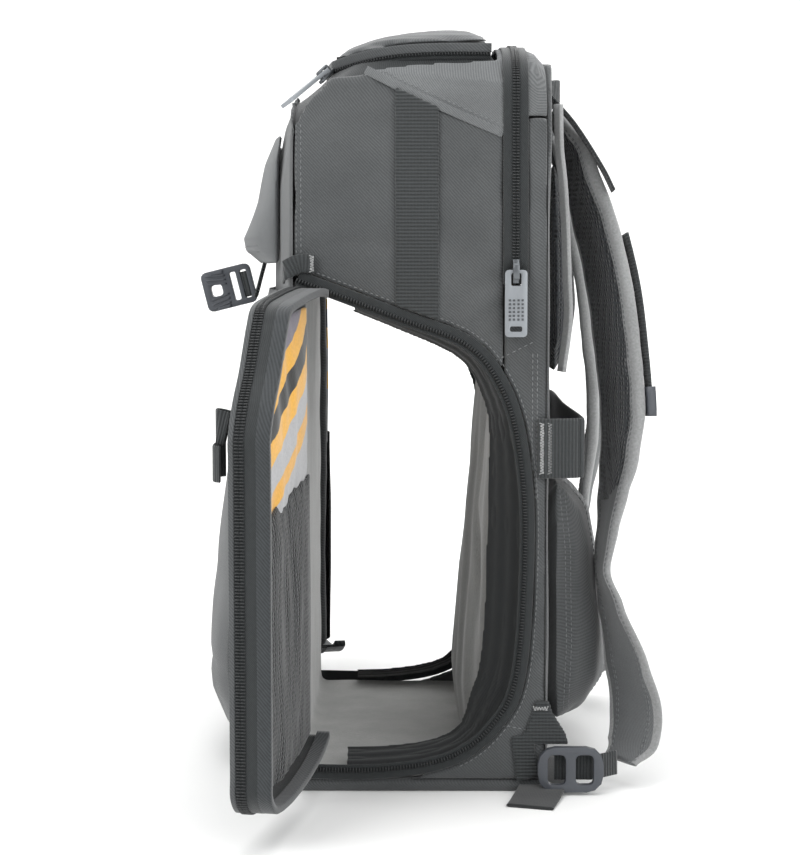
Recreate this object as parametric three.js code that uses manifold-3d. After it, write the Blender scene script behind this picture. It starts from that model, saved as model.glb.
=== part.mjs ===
import Module from 'manifold-3d';
import * as THREE from 'three';
import { mergeVertices } from 'three/addons/utils/BufferGeometryUtils.js';

// Camera backpack, upright, in millimetres. +Z is up, the bag's front faces -Y and the wearer's back +Y.
// The origin is on the floor, midway between the sides. Right-hand pieces lie at +X and are mirrored to the left.

// Driving dimensions of the bag
const clearance = 0.3;
const bagWidth = 300;
const sideHeight = 467;
const frontDepth = 80;
const frontBulge = 18;
const backDepth = 84;
const baseThickness = 8;
const padWall = 8;
const sideWall = 5;
const clothWall = 2;

// Side openings and their doors
const openingDepth = 145;
const openingHeight = 315;
const openingFront = 75;
const tapeWidth = 9;
const tapeThickness = 3;
const coilRadius = 1.8;
const facingDepth = 24;
const doorThickness = 9;
const doorAngle = 101;
const doorStandoff = 2.2;

// Rear compartment, its zip and the padding on the back
const rearZipFront = 55;
const rearZipWidth = 14;
const middleWallFace = 50;
const middleWallThickness = 7;
const backPadWidth = 250;
const upperPadRise = 15;
const lumbarRise = 38;

// Lid
const lidHalfWidth = 127;
const lidFront = 61;
const lidBack = 50;
const lidEdgeHeight = sideHeight + 7;
const lidFall = 10;
const lidCrown = 20;
const lidThickness = 7;

// Front pockets, strap and buckle
const upperPocketDepth = 20;
const lowerPocketDepth = 46;
const pocketHalfWidth = 118;
const frontWebbing = 20;
const buckleLength = 35;
const buckleWidth = 28;
const buckleThickness = 9;

// Webbing and shoulder straps
const webbingThickness = 1.6;
const sideWebbing = 27;
const loopWebbing = 38;
const strapWidth = 70;
const strapThickness = 14;

// Finishes
const finishes = {
  body: new THREE.MeshStandardMaterial({ color: 0x5c5d5d, roughness: 0.9 }),
  light: new THREE.MeshStandardMaterial({ color: 0x737575, roughness: 0.85 }),
  trim: new THREE.MeshStandardMaterial({ color: 0x232624, roughness: 0.8 }),
  lining: new THREE.MeshStandardMaterial({ color: 0x80807c, roughness: 1.0 }),
  mesh: new THREE.MeshStandardMaterial({ color: 0x1d1e1e, roughness: 0.95 }),
  webbing: new THREE.MeshStandardMaterial({ color: 0x454646, roughness: 0.8 }),
  hard: new THREE.MeshStandardMaterial({ color: 0x4a4d52, roughness: 0.4 }),
  metal: new THREE.MeshStandardMaterial({ color: 0x55585c, roughness: 0.35, metalness: 0.8 }),
  pull: new THREE.MeshStandardMaterial({ color: 0x8c9094, roughness: 0.45, metalness: 0.4 }),
};

const bag = new THREE.Group();
const halfWidth = bagWidth / 2;

// Shape helpers

function point(x, y, z) {
  return new THREE.Vector3(x, y, z);
}

function mix(a, b, share) {
  return a + (b - a) * share;
}

function clamp01(value) {
  return Math.min(1, Math.max(0, value));
}

function smooth(value) {
  const share = clamp01(value);
  return share * share * (3 - 2 * share);
}

// Reads a short table at a place between its rows, along one monotone cubic for each column.
function read(table, key, place, column) {
  const last = table.length - 1;
  let row = 0;
  while (row < last - 1 && place > table[row + 1][key]) row += 1;
  const rate = (i) => (table[i + 1][column] - table[i][column]) / (table[i + 1][key] - table[i][key]);
  const slope = (i) => {
    if (i === 0) return rate(0);
    if (i === last) return rate(last - 1);
    const [before, after] = [rate(i - 1), rate(i)];
    return before * after > 0 ? (2 * before * after) / (before + after) : 0;
  };
  const span = table[row + 1][key] - table[row][key];
  const t = clamp01((place - table[row][key]) / span);
  const start = table[row][column];
  const end = table[row + 1][column];
  const m0 = slope(row) * span;
  const m1 = slope(row + 1) * span;
  const t2 = t * t;
  const t3 = t2 * t;
  return (2 * t3 - 3 * t2 + 1) * start + (t3 - 2 * t2 + t) * m0 + (3 * t2 - 2 * t3) * end + (t3 - t2) * m1;
}

// Closes a body from its vertices and triangles, with its faces turned outwards.
function body(vertices, triangles) {
  let volume = 0;
  for (const [a, b, c] of triangles) {
    volume += vertices[a].dot(point(0, 0, 0).crossVectors(vertices[b], vertices[c]));
  }
  const index = triangles.flatMap(([a, b, c]) => (volume > 0 ? [a, b, c] : [a, c, b]));
  const geometry = new THREE.BufferGeometry();
  geometry.setAttribute('position', new THREE.Float32BufferAttribute(vertices.flatMap((v) => v.toArray()), 3));
  geometry.setIndex(index);
  geometry.computeVertexNormals();
  return geometry;
}

// The closed body between two sheets, each a function of u and v from 0 to 1.
function between(acrossSteps, alongSteps, outer, inner) {
  const vertices = [];
  const triangles = [];
  for (const sheet of [outer, inner]) {
    for (let j = 0; j <= alongSteps; j += 1) {
      for (let i = 0; i <= acrossSteps; i += 1) vertices.push(sheet(i / acrossSteps, j / alongSteps));
    }
  }
  const row = acrossSteps + 1;
  const layer = row * (alongSteps + 1);
  const at = (side, i, j) => side * layer + j * row + i;
  const quad = (a, b, c, d) => triangles.push([a, b, c], [a, c, d]);
  for (let j = 0; j < alongSteps; j += 1) {
    for (let i = 0; i < acrossSteps; i += 1) {
      quad(at(0, i, j), at(0, i + 1, j), at(0, i + 1, j + 1), at(0, i, j + 1));
      quad(at(1, i, j), at(1, i, j + 1), at(1, i + 1, j + 1), at(1, i + 1, j));
    }
  }
  for (let i = 0; i < acrossSteps; i += 1) {
    quad(at(0, i, 0), at(1, i, 0), at(1, i + 1, 0), at(0, i + 1, 0));
    quad(at(0, i, alongSteps), at(0, i + 1, alongSteps), at(1, i + 1, alongSteps), at(1, i, alongSteps));
  }
  for (let j = 0; j < alongSteps; j += 1) {
    quad(at(0, 0, j), at(0, 0, j + 1), at(1, 0, j + 1), at(1, 0, j));
    quad(at(0, acrossSteps, j), at(1, acrossSteps, j), at(1, acrossSteps, j + 1), at(0, acrossSteps, j + 1));
  }
  return body(vertices, triangles);
}

// Unit cross-sections for bands, straps and cords
const bandSection = [[-1, -1], [1, -1], [1, 1], [-1, 1]];

function roundSection(sides, squareness) {
  const section = [];
  for (let i = 0; i < sides; i += 1) {
    const angle = (2 * Math.PI * (i + 0.5)) / sides;
    const cos = Math.cos(angle);
    const sin = Math.sin(angle);
    const power = 1 / squareness;
    section.push([Math.sign(cos) * Math.abs(cos) ** power, Math.sign(sin) * Math.abs(sin) ** power]);
  }
  return section;
}

// A band or cord: a section carried along stations, each with a place, a width axis and a thickness axis.
function sweep(section, stations) {
  const vertices = [];
  const triangles = [];
  const sides = section.length;
  for (const { place, wide, thick, width, thickness } of stations) {
    for (const [s, t] of section) {
      const corner = place.clone().addScaledVector(wide, (s * width) / 2);
      vertices.push(corner.addScaledVector(thick, (t * thickness) / 2));
    }
  }
  for (let j = 0; j < stations.length - 1; j += 1) {
    for (let i = 0; i < sides; i += 1) {
      const a = j * sides + i;
      const b = j * sides + ((i + 1) % sides);
      triangles.push([a, b, b + sides], [a, b + sides, a + sides]);
    }
  }
  const end = (stations.length - 1) * sides;
  for (let i = 1; i < sides - 1; i += 1) {
    triangles.push([0, i + 1, i], [end, end + i, end + i + 1]);
  }
  return body(vertices, triangles);
}

// Stations along a smooth path; the width axis is square to the path, as near as it can be to the one given.
function route(path, steps, width, thickness, wideAt) {
  const stations = [];
  for (let i = 0; i <= steps; i += 1) {
    const share = i / steps;
    const place = path.getPoint(share);
    const ahead = path.getTangent(share);
    const wanted = wideAt(share);
    const wide = wanted.clone().addScaledVector(ahead, -wanted.dot(ahead)).normalize();
    const thick = point(0, 0, 0).crossVectors(ahead, wide).normalize();
    stations.push({
      place,
      wide,
      thick,
      width: typeof width === 'function' ? width(share) : width,
      thickness: typeof thickness === 'function' ? thickness(share) : thickness,
    });
  }
  return stations;
}

function curve(points) {
  return new THREE.CatmullRomCurve3(points, false, 'centripetal');
}

// A flat plate with a rounded outline and holes, standing out by its depth.
function roundedRectangle(path, turns, x, y, width, height, radius) {
  const corner = Math.min(radius, width / 2, height / 2);
  const centres = [
    [x + width / 2 - corner, y + height / 2 - corner, 0],
    [x - width / 2 + corner, y + height / 2 - corner, 1],
    [x - width / 2 + corner, y - height / 2 + corner, 2],
    [x + width / 2 - corner, y - height / 2 + corner, 3],
  ];
  const points = [];
  for (const [cx, cy, quarter] of centres) {
    for (let i = 0; i <= turns; i += 1) {
      const angle = ((quarter + i / turns) * Math.PI) / 2;
      points.push(new THREE.Vector2(cx + corner * Math.cos(angle), cy + corner * Math.sin(angle)));
    }
  }
  path.setFromPoints(points);
  return path;
}

function plate(outline, holes, depth) {
  const shape = roundedRectangle(new THREE.Shape(), 3, ...outline);
  for (const hole of holes) shape.holes.push(roundedRectangle(new THREE.Path(), 2, ...hole));
  const geometry = new THREE.ExtrudeGeometry(shape, { depth, bevelEnabled: false, curveSegments: 1 });
  geometry.deleteAttribute('uv');
  return geometry;
}

// Joins overlapping bodies that are one piece of the bag.
const solids = await Module();
solids.setup();

function join(...geometries) {
  let whole = null;
  for (const geometry of geometries) {
    const bare = geometry.clone();
    bare.deleteAttribute('normal');
    const merged = mergeVertices(bare, 1e-4);
    const part = new solids.Manifold(new solids.Mesh({
      numProp: 3,
      vertProperties: new Float32Array(merged.getAttribute('position').array),
      triVerts: new Uint32Array(merged.index.array),
    }));
    whole = whole ? whole.add(part) : part;
  }
  const mesh = whole.getMesh();
  const result = new THREE.BufferGeometry();
  result.setAttribute('position', new THREE.BufferAttribute(new Float32Array(mesh.vertProperties), 3));
  result.setIndex(Array.from(mesh.triVerts));
  result.computeVertexNormals();
  return result;
}

// Placing pieces

function add(name, geometry, finish) {
  const mesh = new THREE.Mesh(geometry, finishes[finish]);
  mesh.name = name;
  bag.add(mesh);
  return mesh;
}

function mirrored(geometry) {
  const copy = geometry.index ? geometry.toNonIndexed() : geometry.clone();
  const positions = copy.getAttribute('position');
  const turned = [];
  for (let i = 0; i < positions.count; i += 3) {
    for (const k of [0, 2, 1]) {
      turned.push(-positions.getX(i + k), positions.getY(i + k), positions.getZ(i + k));
    }
  }
  const result = new THREE.BufferGeometry();
  result.setAttribute('position', new THREE.Float32BufferAttribute(turned, 3));
  result.computeVertexNormals();
  return result;
}

function addPair(name, geometry, finish) {
  add(`${name}_right`, geometry, finish);
  add(`${name}_left`, mirrored(geometry), finish);
}

// The bag's outer form

const shoulderHeight = sideHeight - 37;
const crownHeight = sideHeight + 13;
const shoulderDraw = 0.03;
const archSquareness = 3.5;
const wallBottom = baseThickness + clearance;
const sillRoom = 1;
const openingBottom = wallBottom + sillRoom + tapeWidth / 2;
const openingTop = openingBottom + openingHeight;
const seamThickness = 2;

function archShare(share) {
  return (1 - clamp01(share) ** archSquareness) ** (1 / archSquareness);
}

// Half width at a height: upright to the shoulder, then rounded in to the crown.
function sideAt(z) {
  const drawn = shoulderDraw * smooth((z - 0.72 * sideHeight) / (0.2 * sideHeight));
  const base = halfWidth * (1 - drawn);
  return base * archShare((z - shoulderHeight) / (crownHeight - shoulderHeight));
}

// The front wall: its side seams run straight up, and its middle bulges forward and leans back under the lid.
const frontProfile = [
  { rise: 0, bulge: 0.6 },
  { rise: 0.12, bulge: 0.95 },
  { rise: 0.6, bulge: 1 },
  { rise: 0.865, bulge: 1.05 },
  { rise: 0.91, bulge: 0.7 },
  { rise: 0.94, bulge: 0.45 },
  { rise: 0.965, bulge: 0.02 },
];
const frontTop = frontProfile[frontProfile.length - 1].rise * sideHeight;
const frontCornerTop = 0.908 * sideHeight;

function frontAt(x, z) {
  const bulge = frontBulge * read(frontProfile, 'rise', z / sideHeight, 'bulge');
  const across = clamp01(Math.abs(x) / sideAt(z));
  return -frontDepth - bulge * (1 - across * across);
}

function frontGrid(u, v) {
  const across = mix(-1, 1, u);
  const z = mix(wallBottom, mix(frontTop, frontCornerTop, Math.abs(across) ** 3), v);
  return [across * sideAt(z), z];
}

add('front_panel', between(
  8,
  8,
  (u, v) => {
    const [x, z] = frontGrid(u, v);
    return point(x, frontAt(x, z), z);
  },
  (u, v) => {
    const [x, z] = frontGrid(u, v);
    return point(x, Math.min(seamThickness - frontDepth, frontAt(x, z) + padWall), z);
  },
), 'body');

// The base
const baseShrink = 2;
add('base', between(
  8,
  4,
  (u, v) => {
    const x = mix(-1, 1, u) * (halfWidth - clearance);
    return point(x, mix(frontAt(x, wallBottom), backDepth, v), baseThickness);
  },
  (u, v) => {
    const x = mix(-1, 1, u) * (halfWidth - clearance - baseShrink);
    return point(x, mix(frontAt(x, wallBottom) + baseShrink, backDepth - baseShrink, v), 0);
  },
), 'body');

// The line of each side opening, from the top of the door's fold round the back to its foot
const openingLine = [
  { along: 0, rise: 1 },
  { along: 0.44, rise: 0.924 },
  { along: 0.745, rise: 0.868 },
  { along: 0.897, rise: 0.778 },
  { along: 0.972, rise: 0.658 },
  { along: 1, rise: 0.48 },
  { along: 0.966, rise: 0.203 },
  { along: 0.855, rise: 0.092 },
  { along: 0.662, rise: 0.025 },
  { along: 0.36, rise: 0 },
  { along: 0, rise: 0 },
];
const openingCurve = new THREE.SplineCurve(openingLine.map(({ along, rise }) => new THREE.Vector2(
  -openingFront + along * openingDepth,
  openingBottom + rise * openingHeight,
)));

// A place on the opening's line, moved outwards in the side's plane.
function openingPoint(share, outwards) {
  const place = openingCurve.getPoint(share);
  const ahead = openingCurve.getTangent(share);
  return new THREE.Vector2(place.x - ahead.y * outwards, place.y + ahead.x * outwards);
}

const openingSteps = 28;
const openingEdge = [];
for (let i = 0; i <= openingSteps; i += 1) {
  openingEdge.push(openingPoint(i / openingSteps, tapeWidth / 2 + clearance));
}

// Height of the opening's upper edge at a depth, and depth of its rear edge at a height
function openingTopAt(y) {
  for (let i = 0; i < openingEdge.length - 1; i += 1) {
    const [a, b] = [openingEdge[i], openingEdge[i + 1]];
    if (a.x <= y && y <= b.x) return mix(a.y, b.y, (y - a.x) / (b.x - a.x));
  }
  return openingEdge[0].y;
}

function openingRearAt(z) {
  let rear = -openingFront;
  for (let i = 0; i < openingEdge.length - 1; i += 1) {
    const [a, b] = [openingEdge[i], openingEdge[i + 1]];
    if ((a.y - z) * (b.y - z) <= 0 && a.y !== b.y) {
      rear = Math.max(rear, mix(a.x, b.x, (z - a.y) / (b.y - a.y)));
    }
  }
  return rear;
}

// Side panels, with the lighter yoke across their upper rear corner
const sideTop = [
  { along: 0, rise: frontCornerTop / sideHeight },
  { along: 0.03, rise: 0.926 },
  { along: 0.07, rise: 0.944 },
  { along: 0.17, rise: 0.975 },
  { along: 0.37, rise: 0.985 },
  { along: 0.65, rise: 0.994 },
  { along: 1, rise: 1 },
];
const sideFrontEdge = -frontDepth + seamThickness + clearance;
const sideRearEdge = rearZipFront - clearance;
const yokeFront = -frontDepth * 0.4;
const yokeDrop = 48;

function sideTopAt(y) {
  const along = clamp01((y - sideFrontEdge) / (sideRearEdge - sideFrontEdge));
  return sideHeight * read(sideTop, 'along', along, 'rise');
}

function yokeSeamAt(y) {
  const along = clamp01((y - yokeFront) / (sideRearEdge - yokeFront));
  return mix(sideTopAt(yokeFront), sideHeight - yokeDrop, along ** 0.9);
}

function onSide(y, z, inwards) {
  return point(sideAt(z) - inwards, y, z);
}

const panelTopAt = (y) => (y > yokeFront ? Math.min(yokeSeamAt(y), sideTopAt(y)) : sideTopAt(y)) - clearance;
const panelColumns = [sideFrontEdge];
for (const edge of openingEdge) {
  const last = panelColumns[panelColumns.length - 1];
  if (edge.x > last + 1 && edge.x < sideRearEdge - 1) panelColumns.push(edge.x);
}
panelColumns.push(sideRearEdge);
const panelSteps = panelColumns.length - 1;
const sidePanel = (inwards) => (u, v) => {
  const y = panelColumns[Math.round(u * panelSteps)];
  return onSide(y, mix(openingTopAt(y), panelTopAt(y), v), inwards);
};
addPair('side_panel', between(panelSteps, 6, sidePanel(0), sidePanel(sideWall)), 'body');

const yokePanel = (inwards) => (u, v) => {
  const y = mix(yokeFront + 4, sideRearEdge, u);
  return onSide(y, mix(yokeSeamAt(y), sideTopAt(y) - clearance, v), inwards);
};
const yokeSide = between(6, 3, yokePanel(0), yokePanel(clothWall));

// Rear gusset: the side wall behind the opening, behind the zip and up to the shoulder
const rearZipDrop = 105;
const guardDrop = 46;
const gussetReach = 60;
const zipFoot = shoulderHeight - rearZipDrop;
const guardFoot = zipFoot - guardDrop;
const guardRise = 8;
const rearZipBack = rearZipFront + rearZipWidth;
const gussetBack = backDepth - seamThickness - clearance;
const gussetEdgeTop = openingTopAt(sideRearEdge);

function gussetFrontAt(z) {
  if (z <= gussetEdgeTop) return Math.max(openingRearAt(z), sideRearEdge - gussetReach);
  const slope = clamp01((z - guardFoot) / guardRise);
  return mix(rearZipFront, rearZipBack, slope) + clearance;
}

const gussetLevels = [wallBottom];
for (const edge of [...openingEdge].reverse()) {
  const last = gussetLevels[gussetLevels.length - 1];
  if (edge.x > 0 && edge.y > last + 1 && edge.y < gussetEdgeTop - 1) gussetLevels.push(edge.y);
}
gussetLevels.push(gussetEdgeTop - clearance, guardFoot, guardFoot + guardRise, zipFoot);
gussetLevels.push(mix(zipFoot, shoulderHeight, 0.5), shoulderHeight - clearance);
const gussetSteps = gussetLevels.length - 1;
const rearGusset = (inwards) => (u, v) => {
  const z = gussetLevels[Math.round(v * gussetSteps)];
  return onSide(mix(gussetFrontAt(z), gussetBack, u), z, inwards);
};
const gussetSide = between(2, gussetSteps, rearGusset(0), rearGusset(sideWall));

// The cloth guard under the foot of the rear zip
const zipGuard = (inwards) => (u, v) => {
  const y = mix(rearZipFront, rearZipBack + 1, u);
  const foot = guardFoot + guardRise * u - 1;
  return onSide(y, mix(foot, zipFoot - clearance, v), inwards);
};
addPair('rear_gusset', join(gussetSide, between(1, 2, zipGuard(0), zipGuard(sideWall))), 'body');

// Bands over the top of the bag, from the right shoulder to the left
function arch(share, inwards) {
  const angle = Math.PI * share;
  const cos = Math.cos(angle);
  const power = 2 / archSquareness;
  const reach = sideAt(shoulderHeight) - inwards;
  const height = crownHeight - shoulderHeight - inwards;
  return [
    reach * Math.sign(cos) * Math.abs(cos) ** power,
    shoulderHeight + height * Math.max(0, Math.sin(angle)) ** power,
  ];
}

const backRounding = 9;
const topGusset = (inwards) => (u, v) => {
  const [x, z] = arch(v, inwards + backRounding * u * u);
  return point(x, mix(rearZipBack + clearance, gussetBack, u), z);
};
add('rear_gusset_top', between(2, 16, topGusset(0), topGusset(clothWall)), 'light');

const topStripRise = (sideHeight - 4 * clearance - shoulderHeight) / (crownHeight - shoulderHeight);
const topStripStart = Math.asin(topStripRise ** (archSquareness / 2)) / Math.PI;
const topStrip = (inwards) => (u, v) => {
  const [x, z] = arch(mix(topStripStart, 1 - topStripStart, v), inwards);
  return point(x, mix(lidBack + clearance, rearZipFront - clearance, u), z);
};
const overTop = between(1, 16, topStrip(0), topStrip(clothWall));
add('yoke_panel', join(yokeSide, overTop, mirrored(yokeSide)), 'light');

// Rear zip: tape and double coil up the right side, over the top and down the left
const zipSide = 0.19;
function rearZipPath(share, inwards) {
  if (share < zipSide) {
    const z = mix(zipFoot, shoulderHeight, share / zipSide);
    return [sideAt(z) - inwards, z];
  }
  if (share > 1 - zipSide) {
    const z = mix(zipFoot, shoulderHeight, (1 - share) / zipSide);
    return [-sideAt(z) + inwards, z];
  }
  return arch((share - zipSide) / (1 - 2 * zipSide), inwards);
}

const rearZip = (inwards) => (u, v) => {
  const ridge = Math.sin(Math.PI * u) ** 2;
  const [x, z] = rearZipPath(v, inwards - (inwards ? 0 : ridge * coilRadius));
  return point(x, mix(rearZipFront, rearZipBack, u), z);
};
add('rear_zip', between(2, 24, rearZip(0), rearZip(clothWall)), 'trim');

// The wall against the wearer's back
const backBulge = 6;
const backPanelInner = backDepth - seamThickness;

function backAt(x) {
  const across = clamp01(Math.abs(x) / halfWidth);
  return backDepth + backBulge * (1 - across * across);
}

function backTopAt(u) {
  return shoulderHeight + (crownHeight - shoulderHeight - backRounding) * archShare(Math.abs(u));
}

const backGrid = (u, v) => {
  const z = mix(wallBottom, backTopAt(mix(-1, 1, u)), v);
  const x = mix(-1, 1, u) * (sideAt(Math.min(z, shoulderHeight)) - backRounding * v ** 8);
  return [x, z];
};
add('back_panel', between(
  8,
  6,
  (u, v) => {
    const [x, z] = backGrid(u, v);
    return point(x, backAt(x), z);
  },
  (u, v) => {
    const [x, z] = backGrid(u, v);
    return point(x, Math.max(backPanelInner, backAt(x) - padWall), z);
  },
), 'body');

// Inside of the camera compartment: linings on the floor and front, the folded middle wall and the ceiling
const liningThickness = 4;
const liningInset = sideWall + clearance + 1;
const floorBottom = baseThickness + clearance;
const floorTop = floorBottom + liningThickness;
const frontLiningBack = seamThickness - frontDepth + clearance + liningThickness;
const middleWallBack = middleWallFace + middleWallThickness;

const ceilingFall = 38;
const ceilingThickness = 5;
const ceilingRoom = 2;
function ceilingAt(y) {
  return openingTop + ceilingRoom - (ceilingFall * (y + frontDepth)) / (middleWallFace + frontDepth);
}

// The lining runs down the front and back along the floor.
const liningHalf = halfWidth - liningInset;
const liningFront = frontLiningBack - liningThickness;
const floorLining = (z) => (u, v) => point(
  mix(-liningHalf, liningHalf, u),
  mix(liningFront, middleWallBack, v),
  z,
);
const frontLining = (y) => (u, v) => point(
  mix(-liningHalf, liningHalf, u),
  y,
  mix(floorTop - 1, ceilingAt(frontLiningBack) - clearance, v),
);
add('compartment_lining', join(
  between(6, 4, floorLining(floorTop), floorLining(floorBottom)),
  between(6, 6, frontLining(liningFront), frontLining(frontLiningBack)),
), 'lining');

// The middle wall swells towards the compartment, most near the floor, and its lining hangs in upright folds.
const middleSwell = 24;
const foldDepth = 1.6;
const foldCount = 7;
const wallSwell = [
  { rise: 0, share: 0.8 },
  { rise: 0.12, share: 1 },
  { rise: 0.35, share: 0.82 },
  { rise: 0.6, share: 0.5 },
  { rise: 0.78, share: 0.3 },
  { rise: 0.85, share: 0 },
  { rise: 1, share: 0 },
];
const middleWallTop = sideHeight - 18;
const facingRoom = 25;
const middleWallSide = halfWidth - facingRoom;

function middleWallFrontAt(across, z) {
  const rise = clamp01((z - floorTop) / openingHeight);
  const swell = middleSwell * read(wallSwell, 'rise', rise, 'share') * (1 - across * across) ** 0.7;
  const fold = foldDepth * Math.cos(foldCount * Math.PI * across) * (swell / middleSwell);
  return middleWallFace - swell - fold;
}

const middleLevels = wallSwell.map(({ rise }) => floorTop + clearance + rise * openingHeight);
middleLevels.push(middleWallTop);
const middleSteps = middleLevels.length - 1;
const middleGrid = (u, v) => {
  const z = middleLevels[Math.round(v * middleSteps)];
  const reach = Math.min(middleWallSide, sideAt(z) - liningInset);
  return [mix(-1, 1, u), z, reach];
};
add('middle_wall', between(
  14,
  middleSteps,
  (u, v) => {
    const [across, z, reach] = middleGrid(u, v);
    return point(across * reach, middleWallFrontAt(across, z), z);
  },
  (u, v) => {
    const [across, z, reach] = middleGrid(u, v);
    return point(across * reach, middleWallBack, z);
  },
), 'lining');

add('compartment_divider', between(
  4,
  4,
  (u, v) => {
    const y = mix(frontLiningBack - liningThickness, middleWallFace - clearance, v);
    return point(mix(-1, 1, u) * (halfWidth - liningInset), y, ceilingAt(y) + ceilingThickness);
  },
  (u, v) => {
    const y = mix(frontLiningBack - liningThickness, middleWallFace - clearance, v);
    return point(mix(-1, 1, u) * (halfWidth - liningInset), y, ceilingAt(y));
  },
), 'lining');

// Round each opening: the tape in the side's plane, its teeth, and the black facing that turns inwards
function openingBand(outwards, inwards, widest) {
  return (u, v) => {
    const spread = mix(-widest, widest, u) + outwards;
    const flat = openingPoint(v, spread);
    return point(sideAt(flat.y) - inwards, flat.x, flat.y);
  };
}

const tapeRidge = 2 * coilRadius;
addPair('opening_zip', between(
  2,
  openingSteps,
  (u, v) => openingBand(0, u === 0.5 ? -tapeRidge : 0, tapeWidth / 2)(u, v),
  openingBand(0, tapeThickness, tapeWidth / 2),
), 'trim');

const facingStart = 0.06;
const facingEnd = 0.94;
const facingThickness = 1;
const facingSpread = [
  { around: 0, depth: 0.3 },
  { around: 0.3, depth: 0.6 },
  { around: 0.5, depth: 1 },
  { around: 0.68, depth: 0.95 },
  { around: 0.82, depth: 0.42 },
  { around: 1, depth: 0.42 },
];
const facing = (behind) => (u, v) => {
  const inwards = 1 + u * facingDepth * read(facingSpread, 'around', v, 'depth') - behind;
  const flat = openingPoint(mix(facingStart, facingEnd, v), -inwards);
  const start = halfWidth - tapeThickness - clearance - behind;
  return point(mix(start, middleWallSide + clearance + facingThickness - behind, u), flat.x, flat.y);
};
addPair('opening_facing', between(1, openingSteps, facing(0), facing(facingThickness)), 'trim');

// Lid: a padded cap with a zip round its front and sides, on a dark gusset
const lidMiddle = (lidBack - lidFront) / 2;
const lidReach = (lidBack + lidFront) / 2;
const lidFrontRound = 0.5;
const lidBackRound = 0.12;
const lidRim = 4;
const lidProfile = [
  { along: 0, rise: 0.1 },
  { along: 0.06, rise: 0.38 },
  { along: 0.15, rise: 0.62 },
  { along: 0.45, rise: 0.9 },
  { along: 0.7, rise: 1 },
  { along: 0.93, rise: 0.9 },
  { along: 1, rise: 0.55 },
];

// The lid's outline: across and along run from -1 to 1, with rounded front corners.
function lidPlan(across, along, shrink) {
  const round = along < 0 ? lidFrontRound : lidBackRound;
  return [
    (lidHalfWidth - shrink) * across * Math.sqrt(1 - (round * along * along) / 2),
    lidMiddle + (lidReach - shrink) * along * Math.sqrt(1 - (round * across * across) / 2),
  ];
}

function lidRise(across, along) {
  const lengthwise = read(lidProfile, 'along', (along + 1) / 2, 'rise');
  return (lidCrown - lidRim) * lengthwise * (1 - across * across) ** 0.8;
}

// The lid's edge runs level from the back and falls towards the front.
function lidDrop(along) {
  return lidFall * ((1 - along) / 2) ** 3;
}

const lidSheet = (rim, share) => (u, v) => {
  const across = Math.sin((mix(-1, 1, u) * Math.PI) / 2);
  const along = mix(-1, 1, v);
  const [x, y] = lidPlan(across, along, 0);
  return point(x, y, lidEdgeHeight - lidDrop(along) + rim + lidRise(across, along) * share);
};
const lidPadShare = (lidCrown - lidThickness) / (lidCrown - lidRim);
add('top_lid', between(8, 8, lidSheet(lidRim, 1), lidSheet(0, lidPadShare)), 'light');

// A place on the lid's outline from its right rear corner forwards, across the front and back on the left
const lidSideSteps = 6;
const lidFrontSteps = 16;
const lidSteps = 2 * lidSideSteps + lidFrontSteps;
const lidSideShare = lidSideSteps / lidSteps;
const towardsCorner = (share) => 1 - 2 * Math.sin((share * Math.PI) / 2);
function lidOutline(share) {
  if (share < lidSideShare) return [1, towardsCorner(share / lidSideShare)];
  if (share > 1 - lidSideShare) return [-1, towardsCorner((1 - share) / lidSideShare)];
  return [mix(1, -1, (share - lidSideShare) / (1 - 2 * lidSideShare)), -1];
}

const lidCoilShrink = 2;
const lidCoil = 2.2 * coilRadius;
const lidCoilHeight = lidEdgeHeight - clearance - lidCoil + 1;
const lidZip = (height, shrink) => (u, v) => {
  const [across, along] = lidOutline(v);
  const [x, y] = lidPlan(across, along, lidCoilShrink + shrink);
  return point(x, y, height - lidDrop(along) + u * lidCoil);
};
const lidCoilBand = between(1, lidSteps, lidZip(lidCoilHeight - 1, -1), lidZip(lidCoilHeight - 1, 2));

// The gusset's lower edge lies on the panels' upper edges.
const gussetRoom = 3.8;
function shoulderPoint(share) {
  const [across, along] = lidOutline(share);
  if (Math.abs(across) === 1 && along > -1) {
    const y = mix(sideFrontEdge, lidBack, (along + 1) / 2);
    const z = sideTopAt(y) + gussetRoom;
    return point(across * sideAt(z), y, z);
  }
  const z = mix(frontTop, frontCornerTop, Math.abs(across) ** 3) + gussetRoom;
  const x = across * sideAt(z);
  return point(x, frontAt(x, z), z);
}

const gussetTop = lidCoilHeight;
const lidGusset = (inwards) => (u, v) => {
  const foot = shoulderPoint(v);
  const [across, along] = lidOutline(v);
  const [x, y] = lidPlan(across, along, lidCoilShrink);
  const place = foot.lerp(point(x, y, gussetTop - lidDrop(along)), u);
  place.x *= 1 - inwards / halfWidth;
  place.y += inwards * clamp01(-along);
  return place;
};
add('lid_zip', join(lidCoilBand, between(1, lidSteps, lidGusset(0), lidGusset(clothWall))), 'trim');

// Pads against the wearer's back, on the back panel
const upperPad = [
  { along: 0, rise: 0 },
  { along: 0.08, rise: 0.6 },
  { along: 0.35, rise: 1 },
  { along: 0.6, rise: 0.75 },
  { along: 0.8, rise: 0.35 },
  { along: 1, rise: 0.05 },
];
const lumbarPad = [
  { along: 0, rise: 0.5 },
  { along: 0.1, rise: 0.9 },
  { along: 0.22, rise: 0.98 },
  { along: 0.45, rise: 0.86 },
  { along: 0.75, rise: 0.7 },
  { along: 0.92, rise: 0.46 },
  { along: 1, rise: 0.05 },
];

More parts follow.
